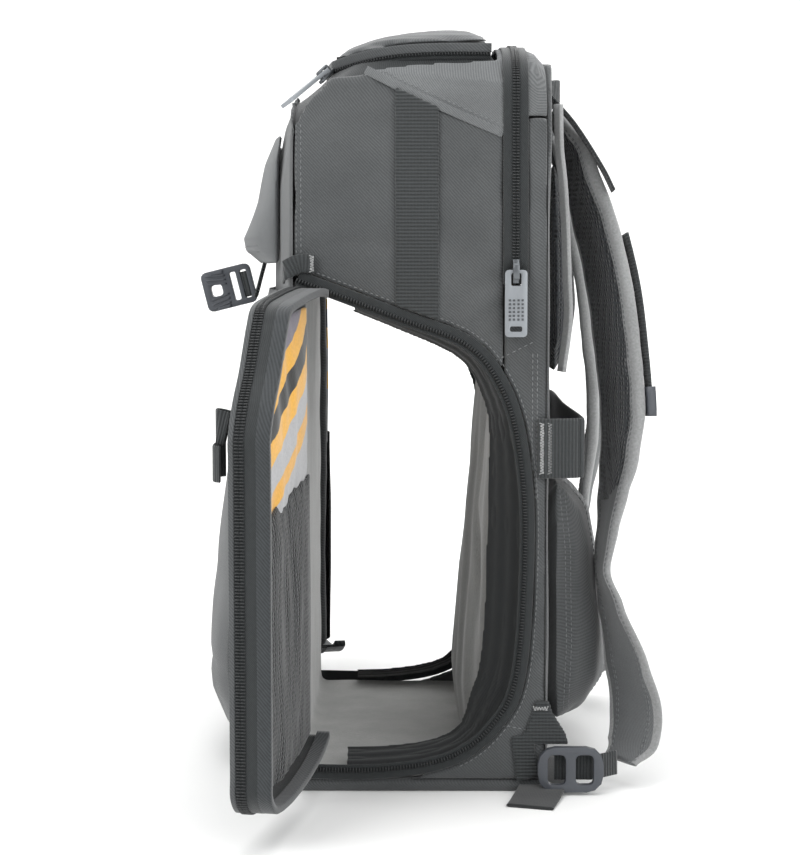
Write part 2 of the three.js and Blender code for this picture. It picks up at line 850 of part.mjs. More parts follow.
function backPad(halfSpan, foot, top, rise, profile) {
  const ground = (u, v) => {
    const x = mix(-1, 1, u) * halfSpan;
    return [x, mix(foot, top, v), backAt(x) + clearance];
  };
  return between(
    8,
    6,
    (u, v) => {
      const [x, z, y] = ground(u, v);
      const across = (1 - Math.abs(mix(-1, 1, u)) ** 3) ** 0.6;
      return point(x, y + 1 + rise * read(profile, 'along', v, 'rise') * (0.12 + 0.88 * across), z);
    },
    (u, v) => {
      const [x, z, y] = ground(u, v);
      return point(x, y, z);
    },
  );
}

const lumbarFoot = 0.075 * sideHeight;
const lumbarTop = 0.43 * sideHeight;
const upperPadFoot = 0.56 * sideHeight;
const upperPadTop = 0.87 * sideHeight;
add('lumbar_pad', backPad(backPadWidth / 2, lumbarFoot, lumbarTop, lumbarRise, lumbarPad), 'body');
add('upper_back_pad', backPad(backPadWidth / 2 - 15, upperPadFoot, upperPadTop, upperPadRise, upperPad), 'mesh');

// Front pockets, each a swelling on the front panel
const pocketWall = 3;
const lowerPocket = [
  { along: 0, rise: 0.45 },
  { along: 0.06, rise: 0.84 },
  { along: 0.14, rise: 1 },
  { along: 0.26, rise: 1 },
  { along: 0.45, rise: 0.88 },
  { along: 0.62, rise: 0.68 },
  { along: 0.8, rise: 0.4 },
  { along: 0.93, rise: 0.16 },
  { along: 1, rise: 0 },
];
const lowerPocketFoot = baseThickness * 0.5;
const lowerPocketTop = 0.69 * sideHeight;
const pocketCorner = 4;

function pocketSheet(foot, top, depth, profile, wall) {
  return (u, v) => {
    const across = mix(-1, 1, u);
    const z = mix(foot, top, v);
    const x = across * (pocketHalfWidth - pocketWall + wall);
    const swell = read(profile, 'along', v, 'rise') * (1 - Math.abs(across) ** pocketCorner) ** 0.6;
    return point(x, frontAt(x, Math.max(z, wallBottom)) - clearance - wall - (depth - pocketWall) * swell, z);
  };
}

add('front_lower_pocket', between(
  8,
  8,
  pocketSheet(lowerPocketFoot, lowerPocketTop, lowerPocketDepth, lowerPocket, pocketWall),
  pocketSheet(lowerPocketFoot + pocketWall, lowerPocketTop - pocketWall, lowerPocketDepth, lowerPocket, 0),
), 'body');

const upperPocket = [
  { along: 0, rise: 0.35 },
  { along: 0.1, rise: 0.9 },
  { along: 0.2, rise: 1 },
  { along: 0.5, rise: 0.5 },
  { along: 0.8, rise: 0.16 },
  { along: 1, rise: 0.05 },
];
const upperPocketFoot = 0.725 * sideHeight;
const upperPocketTop = 0.9 * sideHeight;
const upperPocketSheet = (swelling, wall) => (u, v) => {
  const across = mix(-1, 1, u);
  const z = mix(upperPocketFoot, upperPocketTop, v);
  const x = across * (pocketHalfWidth - 10);
  const swell = read(upperPocket, 'along', v, 'rise') * (1 - across ** 4) ** 0.5;
  return point(x, frontAt(x, z) - 2 * clearance - wall - swelling * swell, z);
};
add('front_upper_pocket', between(
  8,
  6,
  upperPocketSheet(upperPocketDepth - 1, 1),
  upperPocketSheet(0, 0),
), 'light');

// How far the lower pocket stands out of the front panel, in the middle
function lowerPocketWall(z) {
  const along = (z - lowerPocketFoot) / (lowerPocketTop - lowerPocketFoot);
  return clearance + pocketWall + (lowerPocketDepth - pocketWall) * read(lowerPocket, 'along', along, 'rise');
}

// Front strap: webbing down the middle of the front, and the side-release buckle that it carries edge-on
const acrossBag = point(1, 0, 0);
const upright = point(0, 0, 1);
const buckleTilt = THREE.MathUtils.degToRad(14);
const buckleHeight = 0.697 * sideHeight;
const buckleRear = frontAt(0, buckleHeight) - 16;
const buckleWall = (buckleWidth - frontWebbing) / 2;
const barGap = 4.5;
const barThickness = 3;
const buckle = plate(
  [0, 0, buckleWidth, buckleLength, 4],
  [
    [0, buckleLength / 2 - barThickness - barGap / 2, frontWebbing, barGap, 1],
    [0, buckleLength / 2 - 2 * barThickness - 1.5 * barGap, frontWebbing, barGap, 1],
    [0, -buckleLength / 2 + 9, frontWebbing - buckleWall * 3, 8, 2],
  ],
  buckleThickness,
);
buckle.translate(0, -buckleLength / 2, -buckleThickness / 2);
buckle.rotateY(Math.PI / 2);
buckle.rotateX(buckleTilt);
buckle.translate(0, buckleRear, buckleHeight);
add('front_buckle', buckle, 'hard');

const strapTop = 0.79 * sideHeight;
const strapFoot = 0.675 * sideHeight;
const strapStandoff = webbingThickness / 2 + clearance;
const frontStrap = sweep(bandSection, route(
  curve([
    point(0, frontAt(0, strapFoot) - strapStandoff - lowerPocketWall(strapFoot), strapFoot),
    point(0, frontAt(0, buckleHeight) - strapStandoff - 5, buckleHeight - 4),
    point(0, frontAt(0, buckleHeight) - strapStandoff - 5, buckleHeight + 4),
    point(0, frontAt(0, upperPocketFoot) - strapStandoff - 1, upperPocketFoot - 3),
  ]),
  6,
  frontWebbing,
  webbingThickness,
  () => acrossBag,
));

// The strap's end is turned on its edge and passed round the buckle's bar.
const endReach = 10;
const strapTurned = sweep(bandSection, route(
  new THREE.LineCurve3(
    point(0, buckleRear + clearance * Math.cos(buckleTilt), buckleHeight + clearance * Math.sin(buckleTilt)),
    point(0, buckleRear + endReach * Math.cos(buckleTilt), buckleHeight + endReach * Math.sin(buckleTilt)),
  ),
  1,
  frontWebbing - 2,
  2 * webbingThickness,
  () => upright,
));
add('front_strap', join(frontStrap, strapTurned), 'webbing');

// Keeper loop: a fold of webbing on the lower pocket
const keeperHeight = 0.425 * sideHeight;
const keeperWidth = 26;
const keeperReach = 5;
const keeperFace = frontAt(0, keeperHeight) - lowerPocketWall(keeperHeight) - 3;
add('keeper_loop', sweep(bandSection, route(
  curve([
    point(-22, keeperFace, keeperHeight),
    point(-14, keeperFace - keeperReach, keeperHeight),
    point(14, keeperFace - keeperReach, keeperHeight),
    point(22, keeperFace, keeperHeight),
  ]),
  8,
  keeperWidth,
  webbingThickness,
  () => upright,
)), 'webbing');

// Side webbing: a strip on each side panel, from the opening to the yoke
const sideStrip = (outwards) => (u, v) => {
  const y = mix(-sideWebbing / 2, sideWebbing / 2, u);
  return onSide(y, mix(openingTopAt(y) + 1, panelTopAt(y) - 1, v), -outwards - clearance);
};
addPair('side_webbing', between(2, 6, sideStrip(webbingThickness + clearance), sideStrip(clearance)), 'webbing');

// Corner bridge: webbing sewn over the top of each door's fold
addPair('corner_bridge', sweep(bandSection, route(
  curve([
    point(halfWidth - 9, -frontDepth - 4.5, openingTop + 2),
    point(halfWidth + 1.6, -frontDepth - 2.5, openingTop + 5),
    point(halfWidth + 2, -frontDepth + 6, openingTop + 9),
    point(halfWidth + 2, -frontDepth + 16, openingTop + 9),
  ]),
  8,
  12,
  webbingThickness,
  () => upright,
)), 'webbing');

// Trolley strap: wide webbing round the back, sewn to both side walls between the two pads
const trolleyHeight = 0.474 * sideHeight;
const trolleyStand = 14;
const trolleySide = halfWidth + clearance + webbingThickness / 2;
const trolleyPath = [];
for (const [x, y] of [
  [trolleySide, backDepth - 8],
  [trolleySide, backDepth + 4],
  [trolleySide - 4, backDepth + trolleyStand + 4],
  [trolleySide - 20, backDepth + trolleyStand + 8],
  [0, backDepth + trolleyStand + 6],
]) trolleyPath.push(point(x, y, trolleyHeight));
for (const place of trolleyPath.slice(0, -1).reverse()) trolleyPath.push(point(-place.x, place.y, place.z));
add('trolley_strap', sweep(bandSection, route(
  curve(trolleyPath),
  24,
  loopWebbing,
  webbingThickness,
  () => upright,
)), 'webbing');

// Haul handle, lying against the top of the back
const handleHeight = 0.975 * sideHeight;
const handleHalf = 50;
const handleStand = 7;
const handleFoot = (x) => backAt(x) + clearance + webbingThickness;
add('haul_handle', sweep(bandSection, route(
  curve([
    point(-handleHalf, handleFoot(handleHalf), handleHeight - 3),
    point(-handleHalf + 10, handleFoot(handleHalf) + 1.5, handleHeight - 2),
    point(-handleHalf / 2, backAt(0) + handleStand - 0.5, handleHeight),
    point(0, backAt(0) + handleStand, handleHeight + 1),
    point(handleHalf / 2, backAt(0) + handleStand - 0.5, handleHeight),
    point(handleHalf - 10, handleFoot(handleHalf) + 1.5, handleHeight - 2),
    point(handleHalf, handleFoot(handleHalf), handleHeight - 3),
  ]),
  14,
  16,
  2 * webbingThickness,
  () => upright,
)), 'webbing');

// Shoulder straps: padded bands from the top of the back, out and down to the lower corners
const strapReach = 137;
const strapTurn = THREE.MathUtils.degToRad(45);
const strapRows = [
  { rise: 0.93, reach: 0.686, spread: 0.32, turn: 0.05, width: 0.86, pad: 0.5 },
  { rise: 0.885, reach: 0.76, spread: 0.36, turn: 0.15, width: 0.95, pad: 0.85 },
  { rise: 0.845, reach: 0.8, spread: 0.4, turn: 0.25, width: 1, pad: 1 },
  { rise: 0.77, reach: 0.876, spread: 0.44, turn: 0.35, width: 1, pad: 1 },
  { rise: 0.685, reach: 0.94, spread: 0.48, turn: 0.36, width: 1, pad: 1 },
  { rise: 0.6, reach: 0.975, spread: 0.51, turn: 0.36, width: 1, pad: 1 },
  { rise: 0.52, reach: 1, spread: 0.53, turn: 0.33, width: 1, pad: 1 },
  { rise: 0.45, reach: 0.985, spread: 0.55, turn: 0.25, width: 0.97, pad: 0.95 },
  { rise: 0.4, reach: 0.955, spread: 0.57, turn: 0.18, width: 0.9, pad: 0.8 },
  { rise: 0.345, reach: 0.925, spread: 0.6, turn: 0.08, width: 0.82, pad: 0.65 },
  { rise: 0.29, reach: 0.9, spread: 0.63, turn: 0.05, width: 0.75, pad: 0.55 },
  { rise: 0.235, reach: 0.94, spread: 0.67, turn: 0.3, width: 0.7, pad: 0.5 },
  { rise: 0.155, reach: 1.01, spread: 0.74, turn: 0.7, width: 0.66, pad: 0.48 },
  { rise: 0.1, reach: 1.045, spread: 0.79, turn: 0.9, width: 0.64, pad: 0.46 },
  { rise: 0.06, reach: 1.03, spread: 0.84, turn: 1, width: 0.58, pad: 0.45 },
  { rise: 0.036, reach: 0.965, spread: 0.885, turn: 1, width: 0.4, pad: 0.4 },
];
const strapPath = curve(strapRows.map(({ rise, reach, spread }) => (
  point(spread * halfWidth, reach * strapReach, rise * sideHeight)
)));

function strapValue(share, column) {
  const place = share * (strapRows.length - 1);
  const row = Math.min(Math.floor(place), strapRows.length - 2);
  return mix(strapRows[row][column], strapRows[row + 1][column], smooth(place - row));
}

const strapSteps = 21;
const strapStations = route(
  strapPath,
  strapSteps,
  (share) => strapWidth * strapValue(share, 'width'),
  (share) => strapThickness * strapValue(share, 'pad'),
  (share) => {
    const turn = strapTurn * strapValue(share, 'turn');
    return point(Math.cos(turn), Math.sin(turn), 0);
  },
);
const strapPad = sweep(roundSection(8, 2.2), strapStations);

// Lower fastening of each strap: a webbing tab from the corner, its ladder lock, and webbing on to the strap
const lockLength = 42;
const lockHeight = 29;
const lockThickness = 6;
const lockFace = halfWidth + 4 * clearance + webbingThickness;
const lockCentreY = backDepth + 14;
const lockCentreZ = lockHeight / 2 + 2;
const lockBar = 3.2;
const lock = plate(
  [0, 0, lockLength, lockHeight, 11],
  [
    [-lockLength / 4 + lockBar / 2, 0, lockLength / 2 - 3 * lockBar, lockHeight - 3 * lockBar, 3],
    [lockLength / 4 - lockBar / 2, 0, lockLength / 2 - 3 * lockBar, lockHeight - 3 * lockBar, 3],
  ],
  lockThickness,
);
lock.rotateX(Math.PI / 2);
lock.rotateZ(Math.PI / 2);
lock.translate(lockFace, lockCentreY, lockCentreZ);
addPair('strap_lock', lock, 'hard');

const tabTop = 0.128 * sideHeight;
const tabFoot = 0.068 * sideHeight;
const cornerTab = (outwards) => (u, v) => {
  const spread = mix(0.3, 1, smooth(v));
  const y = backDepth - 5 + mix(-12, 18, u) * spread;
  return point(halfWidth + clearance + outwards, y, mix(tabTop, tabFoot, v));
};
const tailWebbing = (outwards) => (u, v) => point(
  halfWidth + clearance + outwards,
  mix(backDepth - 24, backDepth - 10, u) + 4 * v,
  mix(tabFoot + 4, lockCentreZ - lockHeight / 3, v) + 4 * u,
);
addPair('corner_tab', join(
  between(2, 4, cornerTab(webbingThickness), cornerTab(0)),
  between(1, 3, tailWebbing(webbingThickness), tailWebbing(0)),
), 'webbing');

const strapEnd = strapStations[strapStations.length - 1].place;
addPair('lower_webbing', sweep(bandSection, route(
  curve([
    point(strapEnd.x + 1, strapEnd.y - clearance - 3.5, strapEnd.z),
    point(mix(strapEnd.x, halfWidth, 0.75), mix(strapEnd.y, lockCentreY, 0.45), lockCentreZ),
    point(halfWidth + clearance + webbingThickness / 2, lockCentreY + 8, lockCentreZ),
    point(halfWidth + clearance + webbingThickness / 2, lockCentreY - 10, lockCentreZ),
  ]),
  8,
  lockHeight - 4 * lockBar,
  webbingThickness,
  () => upright,
)), 'webbing');

// Load lifter: webbing from the top of the back down to the strap, to which it is sewn
const lifterX = 0.63 * halfWidth;
const lifter = sweep(bandSection, route(
  curve([
    point(lifterX, backAt(lifterX) + 2 * clearance + webbingThickness / 2, 0.955 * sideHeight),
    point(lifterX + 2, backDepth + 19, 0.915 * sideHeight),
    point(lifterX + 4, backDepth + 36, 0.858 * sideHeight),
  ]),
  4,
  20,
  webbingThickness,
  () => acrossBag,
));
addPair('shoulder_strap', join(strapPad, lifter), 'body');

// Zip sliders and their hinged pulls. Each is drawn with its pivot at the origin, its face to +X and its
// pull hanging down, then turned and carried to its place.
const sliderLength = 15;
const sliderBase = 2.2;
const bailWidth = 4;
const bailHeight = 3.2;
const bailWindow = 1.6;
const barHalf = 1;
const sliderGap = 1.9;

function slider() {
  const outline = new THREE.Shape();
  outline.moveTo(-sliderGap - sliderBase, -sliderLength / 2);
  outline.lineTo(-sliderGap, -sliderLength / 2);
  outline.lineTo(-sliderGap, -5);
  outline.lineTo(bailHeight - 0.8, -5);
  outline.lineTo(bailHeight, -4);
  outline.lineTo(bailHeight, 4);
  outline.lineTo(bailHeight - 0.8, 5);
  outline.lineTo(-sliderGap, 5);
  outline.lineTo(-sliderGap, sliderLength / 2);
  outline.lineTo(-sliderGap - sliderBase, sliderLength / 2);
  outline.closePath();
  const opening = new THREE.Path();
  opening.setFromPoints([
    new THREE.Vector2(-bailWindow, -2.8),
    new THREE.Vector2(-bailWindow, 2.8),
    new THREE.Vector2(bailWindow, 2.8),
    new THREE.Vector2(bailWindow, -2.8),
  ]);
  outline.holes.push(opening);
  const geometry = new THREE.ExtrudeGeometry(outline, { depth: bailWidth, bevelEnabled: false });
  geometry.deleteAttribute('uv');
  geometry.translate(0, 0, -bailWidth / 2);
  geometry.rotateX(Math.PI / 2);
  return geometry;
}

function pull(length, width, thickness) {
  const ringWidth = bailWidth + 2.4;
  const ringLength = 8;
  const geometry = plate(
    [0, barHalf - length / 2, width, length, 2.4],
    [
      [0, -barHalf - ringLength / 2, ringWidth, ringLength, 1],
      [0, 3 * barHalf - length + 3, width * 0.55, 3.4, 1],
    ],
    thickness,
  );
  geometry.translate(0, 0, -thickness / 2);
  geometry.rotateX(Math.PI / 2);
  geometry.rotateZ(Math.PI / 2);
  return geometry;
}

const rearPullLength = 42;
const rearPullWidth = 14;
const rearPullThickness = 2;
const rearZipMiddle = (rearZipFront + rearZipBack) / 2;
const rearPivotX = halfWidth + coilRadius + clearance + sliderGap + sliderBase;
const rearPivotZ = zipFoot + 8;

function atRearPivot(geometry) {
  return geometry.translate(rearPivotX, rearZipMiddle, rearPivotZ);
}
addPair('rear_slider', atRearPivot(slider()), 'metal');
addPair('rear_pull', atRearPivot(pull(rearPullLength, rearPullWidth, rearPullThickness)), 'pull');

// The lid's slider lies in the shallow valley of the gusset's front corner, its face square to that valley.
const lidPullLength = 44;
const lidPullWidth = 12;
const lidPullThickness = 2.4;
const lidPivotShare = 0.15;
const valleyRoom = 1.4;
const lidPullSplay = THREE.MathUtils.degToRad(4);
const cornerHead = point(...lidPlan(1, -1, lidCoilShrink), gussetTop - lidDrop(-1));
const cornerFoot = shoulderPoint(lidSideShare);
const cornerRise = cornerHead.clone().sub(cornerFoot).normalize();
const cornerNormal = point(0, 0, 0);
for (const step of [-1, 1]) {
  const beside = shoulderPoint(lidSideShare + step / lidSteps).sub(cornerFoot);
  cornerNormal.add(beside.addScaledVector(cornerRise, -beside.dot(cornerRise)).normalize());
}
cornerNormal.normalize();
const cornerAcross = point(0, 0, 0).crossVectors(cornerRise, cornerNormal);
const lidPivot = cornerHead.clone().lerp(cornerFoot, lidPivotShare)
  .addScaledVector(cornerNormal, sliderGap + sliderBase + valleyRoom);
const lidPlace = new THREE.Matrix4().makeBasis(cornerNormal, cornerAcross, cornerRise).setPosition(lidPivot);
addPair('lid_slider', slider().applyMatrix4(lidPlace), 'metal');
const lidPull = pull(lidPullLength, lidPullWidth, lidPullThickness).rotateY(-lidPullSplay);
addPair('lid_pull', lidPull.applyMatrix4(lidPlace), 'pull');

// Doors: each swings outwards on a fold of cloth at the front of its opening
const doorSwing = THREE.MathUtils.degToRad(doorAngle);
const foldX = halfWidth + doorStandoff;
const foldRoom = 2.7;
const foldY = -openingFront - foldRoom;
const doorRows = [
  { along: 0, foot: 0.085, top: 0.965 },
  { along: 0.1, foot: 0.066, top: 0.968 },
  { along: 0.25, foot: 0.05, top: 0.963 },
  { along: 0.45, foot: 0.038, top: 0.953 },
  { along: 0.65, foot: 0.033, top: 0.938 },
  { along: 0.72, foot: 0.033, top: 0.908 },
  { along: 0.78, foot: 0.034, top: 0.867 },
  { along: 0.845, foot: 0.036, top: 0.822 },
  { along: 0.94, foot: 0.044, top: 0.77 },
  { along: 1, foot: 0.07, top: 0.717 },
];
const doorReach = openingDepth - 3;

// A place on the open door: along it from the fold, out of its outer face, and up
function onDoor(along, out, z) {
  return point(
    foldX + along * Math.sin(doorSwing) + out * Math.cos(doorSwing),
    foldY + along * Math.cos(doorSwing) - out * Math.sin(doorSwing),
    z,
  );
}

function doorEdge(share, column) {
  return openingBottom + openingHeight * read(doorRows, 'along', share, column);
}

const doorPanel = (out) => (u, v) => onDoor(
  mix(0, doorReach, u),
  out,
  mix(doorEdge(u, 'foot'), doorEdge(u, 'top'), v),
);
addPair('door', between(10, 2, doorPanel(0), doorPanel(-doorThickness)), 'body');

// The door's edge wall carries its zip, and stands in from the outer face right round the door.
const doorWallDepth = 15;
const doorWallThickness = 3.2;
const doorOutline = [];
for (const { along, foot } of doorRows) doorOutline.push([along * doorReach, openingBottom + foot * openingHeight]);
// The far edge is straight between its two rounded corners.
for (const rise of [0.1, 0.16, 0.4, 0.62, 0.68]) doorOutline.push([doorReach, openingBottom + rise * openingHeight]);
for (const { along, top } of [...doorRows].reverse()) {
  doorOutline.push([along * doorReach, openingBottom + top * openingHeight]);
}
const doorCurve = new THREE.SplineCurve(doorOutline.map(([along, z]) => new THREE.Vector2(along, z)));
const doorSteps = 26;

function doorRing(out, outwards) {
  return (share) => {
    const place = doorCurve.getPoint(share);
    const ahead = doorCurve.getTangent(share);
    return onDoor(place.x + ahead.y * outwards, out, place.y - ahead.x * outwards);
  };
}

const doorRingStart = 1;
const doorWall = (outwards) => {
  const near = doorRing(0, outwards);
  const far = doorRing(-doorWallDepth, outwards);
  return (u, v) => near(v).lerp(far(v), u);
};
addPair('door_zip', between(
  1,
  doorSteps,
  doorWall(doorRingStart + doorWallThickness),
  doorWall(doorRingStart),
), 'trim');

// Pockets on the door's inner face: a mesh pocket below and a banded organiser above it
const pocketGap = clearance;
const pocketWallThickness = 1.2;
const pocketFootRoom = 6;
const pocketHeadRoom = 8;
const pocketEdge = 0.06;
const netSpan = { from: pocketEdge, to: 0.93, foot: 0, top: 0.6, swell: 5 };
const organiserSpan = { from: pocketEdge, to: 0.9, foot: 0.615, top: 1, swell: 7 };
function doorPocket({ from, to, foot, top, swell }, thickness) {
  return (u, v) => {
    const bulge = (thickness ? swell : 0) * (Math.sin(Math.PI * u) * Math.sin(Math.PI * v)) ** 0.6;
    const share = mix(from, to, u);
    const low = doorEdge(share, 'foot') + pocketFootRoom;
    const high = doorEdge(share, 'top') - pocketHeadRoom;
    const z = mix(mix(low, high, foot), mix(low, high, top), v);
    return onDoor(share * doorReach, -doorThickness - pocketGap - thickness - bulge, z);
  };
}
addPair('door_mesh', between(
  4,
  5,
  doorPocket(netSpan, pocketWallThickness),
  doorPocket(netSpan, 0),
), 'mesh');
addPair('door_organiser', between(
  4,
  5,
  doorPocket(organiserSpan, pocketWallThickness),
  doorPocket(organiserSpan, 0),
), 'lining');

// Sliders parked at the foot of each opening, their pulls standing out sideways under the door
const parkedTurn = THREE.MathUtils.degToRad(-32);
const parkedY = -openingFront - 5;
const parkedZ = 17;
const parkedX = halfWidth + clearance + sliderGap + sliderBase;
const doorPullLength = 22;
const doorPullWidth = 11;
const doorPullThickness = 1.6;

function atParked(geometry) {
  return geometry.rotateX(parkedTurn).translate(parkedX, parkedY, parkedZ);
}
addPair('door_slider', atParked(slider()), 'metal');
const doorPull = pull(doorPullLength, doorPullWidth, doorPullThickness).rotateY(-Math.PI / 2);
addPair('door_pull', atParked(doorPull), 'pull');

export default bag;
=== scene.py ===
"""Looks of a camera backpack that stands upright, with both side doors swung open."""

import math

import bmesh
import bpy
import numpy as np
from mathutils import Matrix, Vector, noise
from mathutils.bvhtree import BVHTree


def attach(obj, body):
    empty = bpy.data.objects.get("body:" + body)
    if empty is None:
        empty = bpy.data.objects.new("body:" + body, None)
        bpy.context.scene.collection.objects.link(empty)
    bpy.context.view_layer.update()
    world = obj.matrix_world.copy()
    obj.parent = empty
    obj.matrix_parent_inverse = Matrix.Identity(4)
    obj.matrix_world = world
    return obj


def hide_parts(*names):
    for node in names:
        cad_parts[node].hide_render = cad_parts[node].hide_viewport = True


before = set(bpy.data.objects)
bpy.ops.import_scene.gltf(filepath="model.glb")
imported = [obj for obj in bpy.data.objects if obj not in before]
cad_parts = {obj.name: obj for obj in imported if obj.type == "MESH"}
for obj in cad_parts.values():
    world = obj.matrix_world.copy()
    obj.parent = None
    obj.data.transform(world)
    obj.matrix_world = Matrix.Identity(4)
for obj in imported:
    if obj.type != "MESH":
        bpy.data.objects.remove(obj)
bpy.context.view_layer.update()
scene = bpy.context.scene
MM = 0.001
SIDES = (("right", 1), ("left", -1))


# Studio
# A pale floor that runs up into the background, lit by two large soft lamps, and a long lens square to the
# bag's right side.

def linear(code):
    """The linear colour of an sRGB hex value."""
    parts = [int(code[i:i + 2], 16) / 255 for i in (1, 3, 5)]
    return tuple(c / 12.92 if c <= 0.04045 else ((c + 0.055) / 1.055) ** 2.4 for c in parts) + (1.0,)


def put(tree, kind, links=(), **settings):
    """Adds a node with its settings; links gives each socket its value or the output that feeds it."""
    made = tree.nodes.new(kind)
    for name, value in settings.items():
        setattr(made, name, value)
    for socket, source in links:
        if isinstance(source, bpy.types.NodeSocket):
            tree.links.new(source, made.inputs[socket])
        else:
            made.inputs[socket].default_value = source
    return made


def start_material(name):
    """An empty material with its output and Object coordinates."""
    material = bpy.data.materials.new(name)
    material.use_nodes = True
    tree = material.node_tree
    tree.nodes.clear()
    output = put(tree, "ShaderNodeOutputMaterial")
    place = put(tree, "ShaderNodeTexCoord").outputs["Object"]
    return material, tree, output, place


def specks(tree, place, scale, detail=2.0):
    """A noise texture's value."""
    return put(tree, "ShaderNodeTexNoise", [("Vector", place), ("Scale", scale),
                                            ("Detail", detail)]).outputs["Fac"]


def waves(tree, place, scale, distortion, direction, links=()):
    """Straight bands' value."""
    settings = [("Vector", place), ("Scale", scale), ("Distortion", distortion)] + list(links)
    return put(tree, "ShaderNodeTexWave", settings, wave_type="BANDS",
               bands_direction=direction).outputs["Fac"]


def mapped(tree, value, source, target=(0.0, 1.0)):
    """A value carried from the range source to the range target."""
    return put(tree, "ShaderNodeMapRange", [("Value", value), ("From Min", source[0]),
                                            ("From Max", source[1]), ("To Min", target[0]),
                                            ("To Max", target[1])]).outputs["Result"]


def summed(tree, first, second):
    """Two values added."""
    return put(tree, "ShaderNodeMath", [(0, first), (1, second)], operation="ADD").outputs[0]


def added(tree, value, share, base):
    """A share of a value added to a base."""
    return put(tree, "ShaderNodeMath", [(0, value), (1, share), (2, base)],
               operation="MULTIPLY_ADD").outputs[0]


def blended(tree, share, first, second):
    """A mix of two colours."""
    return put(tree, "ShaderNodeMix", [(0, share), (6, first), (7, second)], data_type="RGBA").outputs[2]


def shaded_by(tree, colour, tone):
    """A colour made paler or darker by a tone."""
    return put(tree, "ShaderNodeVectorMath", [(0, colour), ("Scale", tone)], operation="SCALE").outputs[0]


def bumped(tree, height, strength, distance):
    """A bumped normal."""
    return put(tree, "ShaderNodeBump", [("Height", height), ("Strength", strength),
                                        ("Distance", distance)]).outputs["Normal"]


def coated(tree, output, colour, roughness, links=(), normal=None, metallic=0.0):
    """A material's shader from its colour, roughness and other values."""
    settings = [("Base Color", colour)] + ([("Normal", normal)] if normal else [])
    settings += [("Metallic", metallic)] if metallic else []
    principled(tree, output, settings + [("Roughness", roughness)] + list(links))


def principled(tree, output, links):
    """The material's shader, joined to its output."""
    shader = put(tree, "ShaderNodeBsdfPrincipled", links)
    tree.links.new(shader.outputs["BSDF"], output.inputs["Surface"])


def linked(name, data):
    """A new object in the scene."""
    made = bpy.data.objects.new(name, data)
    scene.collection.objects.link(made)
    return made


def mesh_object(name, vertices, faces, material):
    """A new object at the origin from its vertices and faces."""
    mesh = bpy.data.meshes.new(name)
    mesh.from_pydata([tuple(v) for v in vertices], [], faces)
    mesh.validate()
    mesh.update()
    mesh.materials.append(material)
    return linked(name, mesh)


def smooth(piece):
    """Shades a piece smoothly."""
    piece.data.polygons.foreach_set("use_smooth", [True] * len(piece.data.polygons))


paper, tree, output, place = start_material("studio paper")
principled(tree, output, [("Base Color", linear("#f4f4f3")), ("Roughness", 0.9)])

floor_reach = 4.0
sweep_radius = 0.8
profile = [(-floor_reach / 2 + sweep_radius * (1 - math.sin(a)), sweep_radius * (1 - math.cos(a)))
           for a in [math.pi / 2 * i / 12 for i in range(12, -1, -1)]]
profile = [(-floor_reach / 2, 3.0)] + profile + [(3.0, 0.0)]
floor_points = [(x, y, z) for y in (-floor_reach, floor_reach) for x, z in profile]
count = len(profile)
floor = mesh_object("floor", floor_points, [(i, i + 1, count + i + 1, count + i) for i in range(count - 1)],
                    paper)

for name, spot, size, power, aim in (("key", (1.5, -1.5, 1.7), 1.5, 34, (0, 0, 0.25)),
                                     ("fill", (1.9, 1.5, 1.1), 1.8, 22, (0, 0, 0.25)),
                                     ("top", (0.1, 0.1, 2.3), 1.8, 26, (0, 0, 0.3)),
                                     ("far", (-1.8, 0.3, 1.2), 1.6, 22, (0, 0, 0.25)),):
    lamp = bpy.data.lights.new(name, "AREA")
    lamp.size = size
    lamp.energy = power
    made = linked(name, lamp)
    made.location = spot
    made.rotation_euler = (Vector(aim) - Vector(spot)).to_track_quat("-Z", "Y").to_euler()

world = bpy.data.worlds.new("studio")
world.use_nodes = True
world.node_tree.nodes["Background"].inputs["Color"].default_value = (0.93, 0.94, 0.95, 1)
world.node_tree.nodes["Background"].inputs["Strength"].default_value = 0.75
scene.world = world

camera = linked("camera", bpy.data.cameras.new("camera"))
camera.data.lens = 85.2
camera.location = (1.425, -0.0057, 0.337)
camera.rotation_euler = (math.radians(90 - 4.59), 0, math.radians(90.226))
scene.camera = camera
scene.view_settings.view_transform = "Standard"


# Body panels
# Padded front, sides, back and base, cut from a fine dark grey polyester twill and sewn edge to edge.

def finish_piece(piece, body, slot, *nodes):
    """Rides a finished piece on its body, and lets it stand for its CAD nodes."""
    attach(piece, body)
    if nodes:
        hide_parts(*nodes)
    return piece


def baked(piece):
    """Applies every modifier of a piece to its mesh."""
    bpy.context.view_layer.update()
    result = bpy.data.meshes.new_from_object(piece.evaluated_get(bpy.context.evaluated_depsgraph_get()))
    piece.modifiers.clear()
    piece.data = result
    return piece


def softened(name, node, material, voxel, rounds, moved=None):
    """A smooth cloth copy of a CAD piece: remeshed, rounded at its edges, then moved by a rule."""
    build = bmesh.new()
    build.from_mesh(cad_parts[node].data)
    bmesh.ops.remove_doubles(build, verts=build.verts, dist=1e-5)
    mesh = bpy.data.meshes.new(name)
    build.to_mesh(mesh)
    build.free()
    piece = linked(name, mesh)
    remesh = piece.modifiers.new("remesh", "REMESH")
    remesh.mode = "VOXEL"
    remesh.voxel_size = voxel
    smoothing = piece.modifiers.new("smoothing", "SMOOTH")
    smoothing.factor = 0.5
    smoothing.iterations = rounds
    baked(piece)
    if moved:
        shift_points(piece, moved)
    piece.data.materials.clear()
    piece.data.materials.append(material)
    smooth(piece)
    return piece


